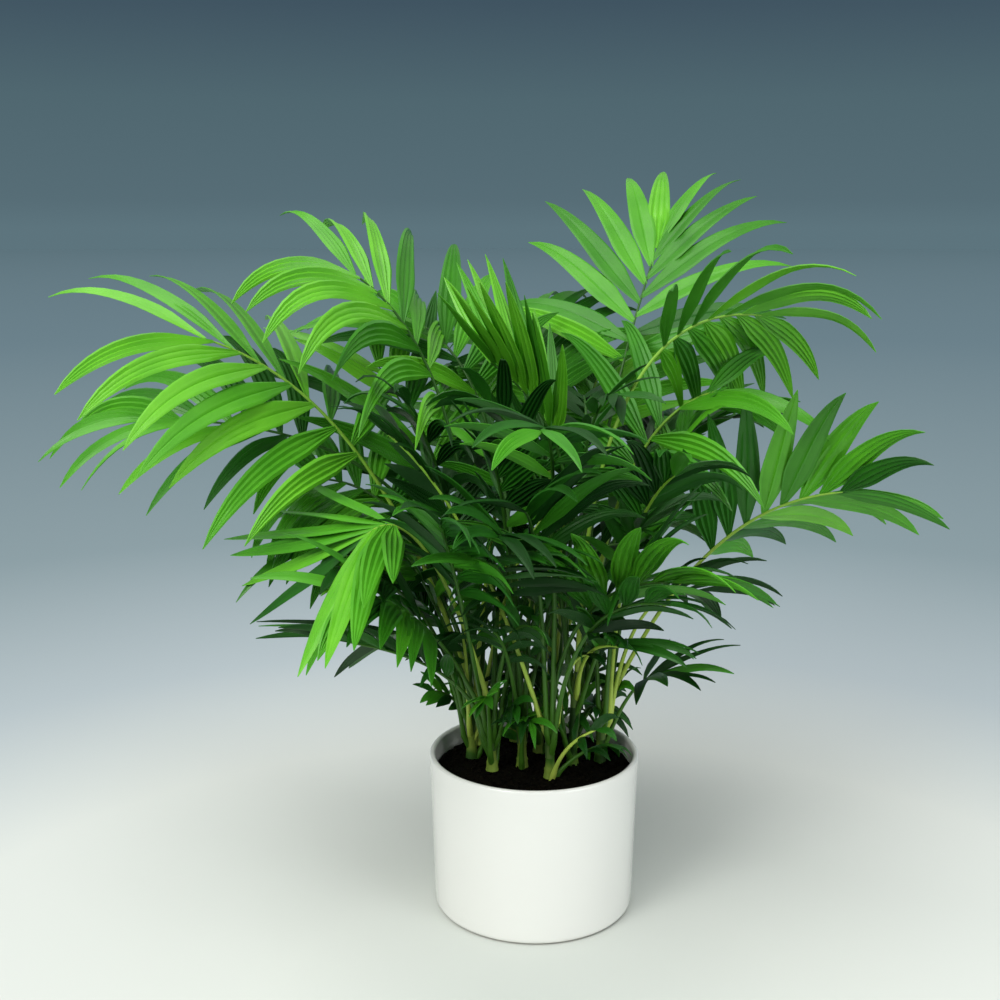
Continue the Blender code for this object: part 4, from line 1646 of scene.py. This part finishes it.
@dataclass
class Studio:
    """A floor painted paler near the pot as a painted pool of light and darkening to blue-grey with distance
    as painted light falloff, soft light from the upper left, and the camera.
    """

    floor_radius: float = 30.0
    fade_centre: tuple = (0.0, -0.15, 0.0)
    fade_rate: float = 5.0
    # Painted light: pale near the pot as a painted pool of light, then darker with distance into the
    # blue-grey far floor as painted light falloff
    floor_painted_light_colours: tuple = (
        (0.00, (0.58, 0.62, 0.58)), (0.12, (0.66, 0.69, 0.65)), (0.23, (0.64, 0.67, 0.64)),
        (0.30, (0.41, 0.47, 0.50)), (0.40, (0.23, 0.30, 0.33)), (0.65, (0.13, 0.20, 0.24)),
        (1.00, (0.087, 0.149, 0.180)),
    )
    sky_colours: tuple = (
        (0.0, (0.1095, 0.176, 0.2065)), (0.02, (0.095, 0.154, 0.183)), (0.09, (0.080, 0.136, 0.162)),
        (0.16, (0.050, 0.086, 0.118)), (0.42, (0.40, 0.42, 0.43)), (1.0, (0.66, 0.67, 0.67)),
    )
    camera_place: tuple = (-0.0228, -0.846, 0.4514)
    camera_pitch: float = 11.55
    lens: float = 47.9

    def floor(self) -> bpy.types.Object:
        """Lays the floor.

        Returns:
            The floor.
        """
        shape = bmesh.new()
        bmesh.ops.create_circle(shape, cap_ends=True, segments=128, radius=self.floor_radius)
        mesh = bpy.data.meshes.new("floor")
        shape.to_mesh(mesh)
        shape.free()
        floor = bpy.data.objects.new("floor", mesh)
        bpy.context.scene.collection.objects.link(floor)
        surface = Surface("pale_floor", 0.7)
        surface.put("Specular IOR Level", 0.1)
        # The colour follows the distance from a point before the pot: painted light, pale near and darker
        # further off
        distance = surface.node("ShaderNodeVectorMath", operation="DISTANCE")
        distance.inputs[1].default_value = self.fade_centre
        surface.link(surface.coordinate(Coordinate.PLACE), distance.inputs[0])
        grown = surface.node("ShaderNodeMath", operation="MULTIPLY_ADD")
        grown.inputs[1].default_value = self.fade_rate
        grown.inputs[2].default_value = 1.0
        surface.link(distance.outputs["Value"], grown.inputs[0])
        order = surface.node("ShaderNodeMath", operation="LOGARITHM")
        order.inputs[1].default_value = 1.0 + self.fade_rate * self.floor_radius
        surface.link(grown.outputs["Value"], order.inputs[0])
        surface.colour(surface.ramp(order.outputs["Value"], self.floor_painted_light_colours))
        mesh.materials.append(surface.material)
        return floor

    def hang(self, data: bpy.types.Light, place: tuple, aim: tuple, power: float, colour: tuple) -> None:
        """Hangs a lamp and turns it to what it lights.

        Args:
            data: The lamp, with its size set.
            place: Where it hangs.
            aim: What it points at.
            power: Its power in watts, or a sun's strength.
            colour: Its colour.
        """
        data.energy = power
        data.color = colour
        lamp = bpy.data.objects.new(data.name, data)
        lamp.location = place
        lamp.rotation_euler = (Vector(aim) - Vector(place)).to_track_quat("-Z", "Y").to_euler()
        bpy.context.scene.collection.objects.link(lamp)

    def lights(self) -> None:
        """Hangs the broad light that also reaches the far floor, and two soft squares at the front."""
        sky = bpy.data.lights.new("sky_panel", "SUN")
        sky.angle = math.radians(60.0)
        self.hang(sky, (-0.45, -0.50, 1.50), (0.0, 0.0, 0.0), 1.9, (1.0, 0.99, 0.96))
        key = bpy.data.lights.new("key", "AREA")
        key.size = 0.8
        self.hang(key, (-1.2, -1.4, 1.3), (0.0, 0.0, 0.25), 17.5, (1.0, 0.99, 0.96))
        fill = bpy.data.lights.new("fill", "AREA")
        fill.size = 1.0
        self.hang(fill, (1.4, -1.3, 0.8), (0.0, 0.0, 0.2), 13.5, (0.98, 0.99, 1.0))

    def world(self) -> None:
        """Sets the blue-grey surroundings, paler towards the horizon."""
        world = bpy.data.worlds.new("studio")
        bpy.context.scene.world = world
        world.use_nodes = True
        tree = world.node_tree
        background = tree.nodes["Background"]
        place = tree.nodes.new("ShaderNodeTexCoord")
        split = tree.nodes.new("ShaderNodeSeparateXYZ")
        ramp = tree.nodes.new("ShaderNodeValToRGB")
        set_stops(ramp.color_ramp, self.sky_colours)
        tree.links.new(place.outputs["Generated"], split.inputs["Vector"])
        tree.links.new(split.outputs["Z"], ramp.inputs["Fac"])
        tree.links.new(ramp.outputs["Color"], background.inputs["Color"])
        background.inputs["Strength"].default_value = 1.0

    def camera(self) -> None:
        """Sets the camera where the photograph was taken from."""
        data = bpy.data.cameras.new("camera")
        data.sensor_width = 36.0
        data.lens = self.lens
        camera = bpy.data.objects.new("camera", data)
        camera.location = self.camera_place
        camera.rotation_euler = (math.radians(90.0 - self.camera_pitch), 0.0, 0.0)
        bpy.context.scene.collection.objects.link(camera)
        bpy.context.scene.camera = camera

    def build(self) -> None:
        """Sets up the floor, the lights, the surroundings and the camera."""
        self.floor()
        self.world()
        self.lights()
        self.camera()
        bpy.context.scene.view_settings.view_transform = "Standard"


def main() -> None:
    """Builds the part's pieces in order, dresses them and sets the studio."""
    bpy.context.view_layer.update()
    crown = Crown()
    for name in ["pot", "soil"] + [stem.name for stem in STEMS]:
        crown.add_node(name)
    ribs = [rib for rib in map(crown.rib_for, all_fronds()) if rib is not None]
    crowns = [(rib, crown.leaflets_for(rib)) for rib in ribs]
    for brood in BROODS:
        grown = [rib for rib in map(crown.rib_for, brood_fronds(brood)) if rib is not None]
        crowns += [(rib, crown.leaflets_for(rib)) for rib in grown]
        ribs += grown
    log.info("%d fronds, %d leaflets", len(crowns), sum(len(leaflets) for _, leaflets in crowns))

    Pot().build()
    Soil().build()
    canes = Canes()
    canes.build()
    canes.sheaths()
    Stalks().build(ribs)
    Foliage().build(crowns)
    Studio().build()


if __name__ == "__main__":
    main()
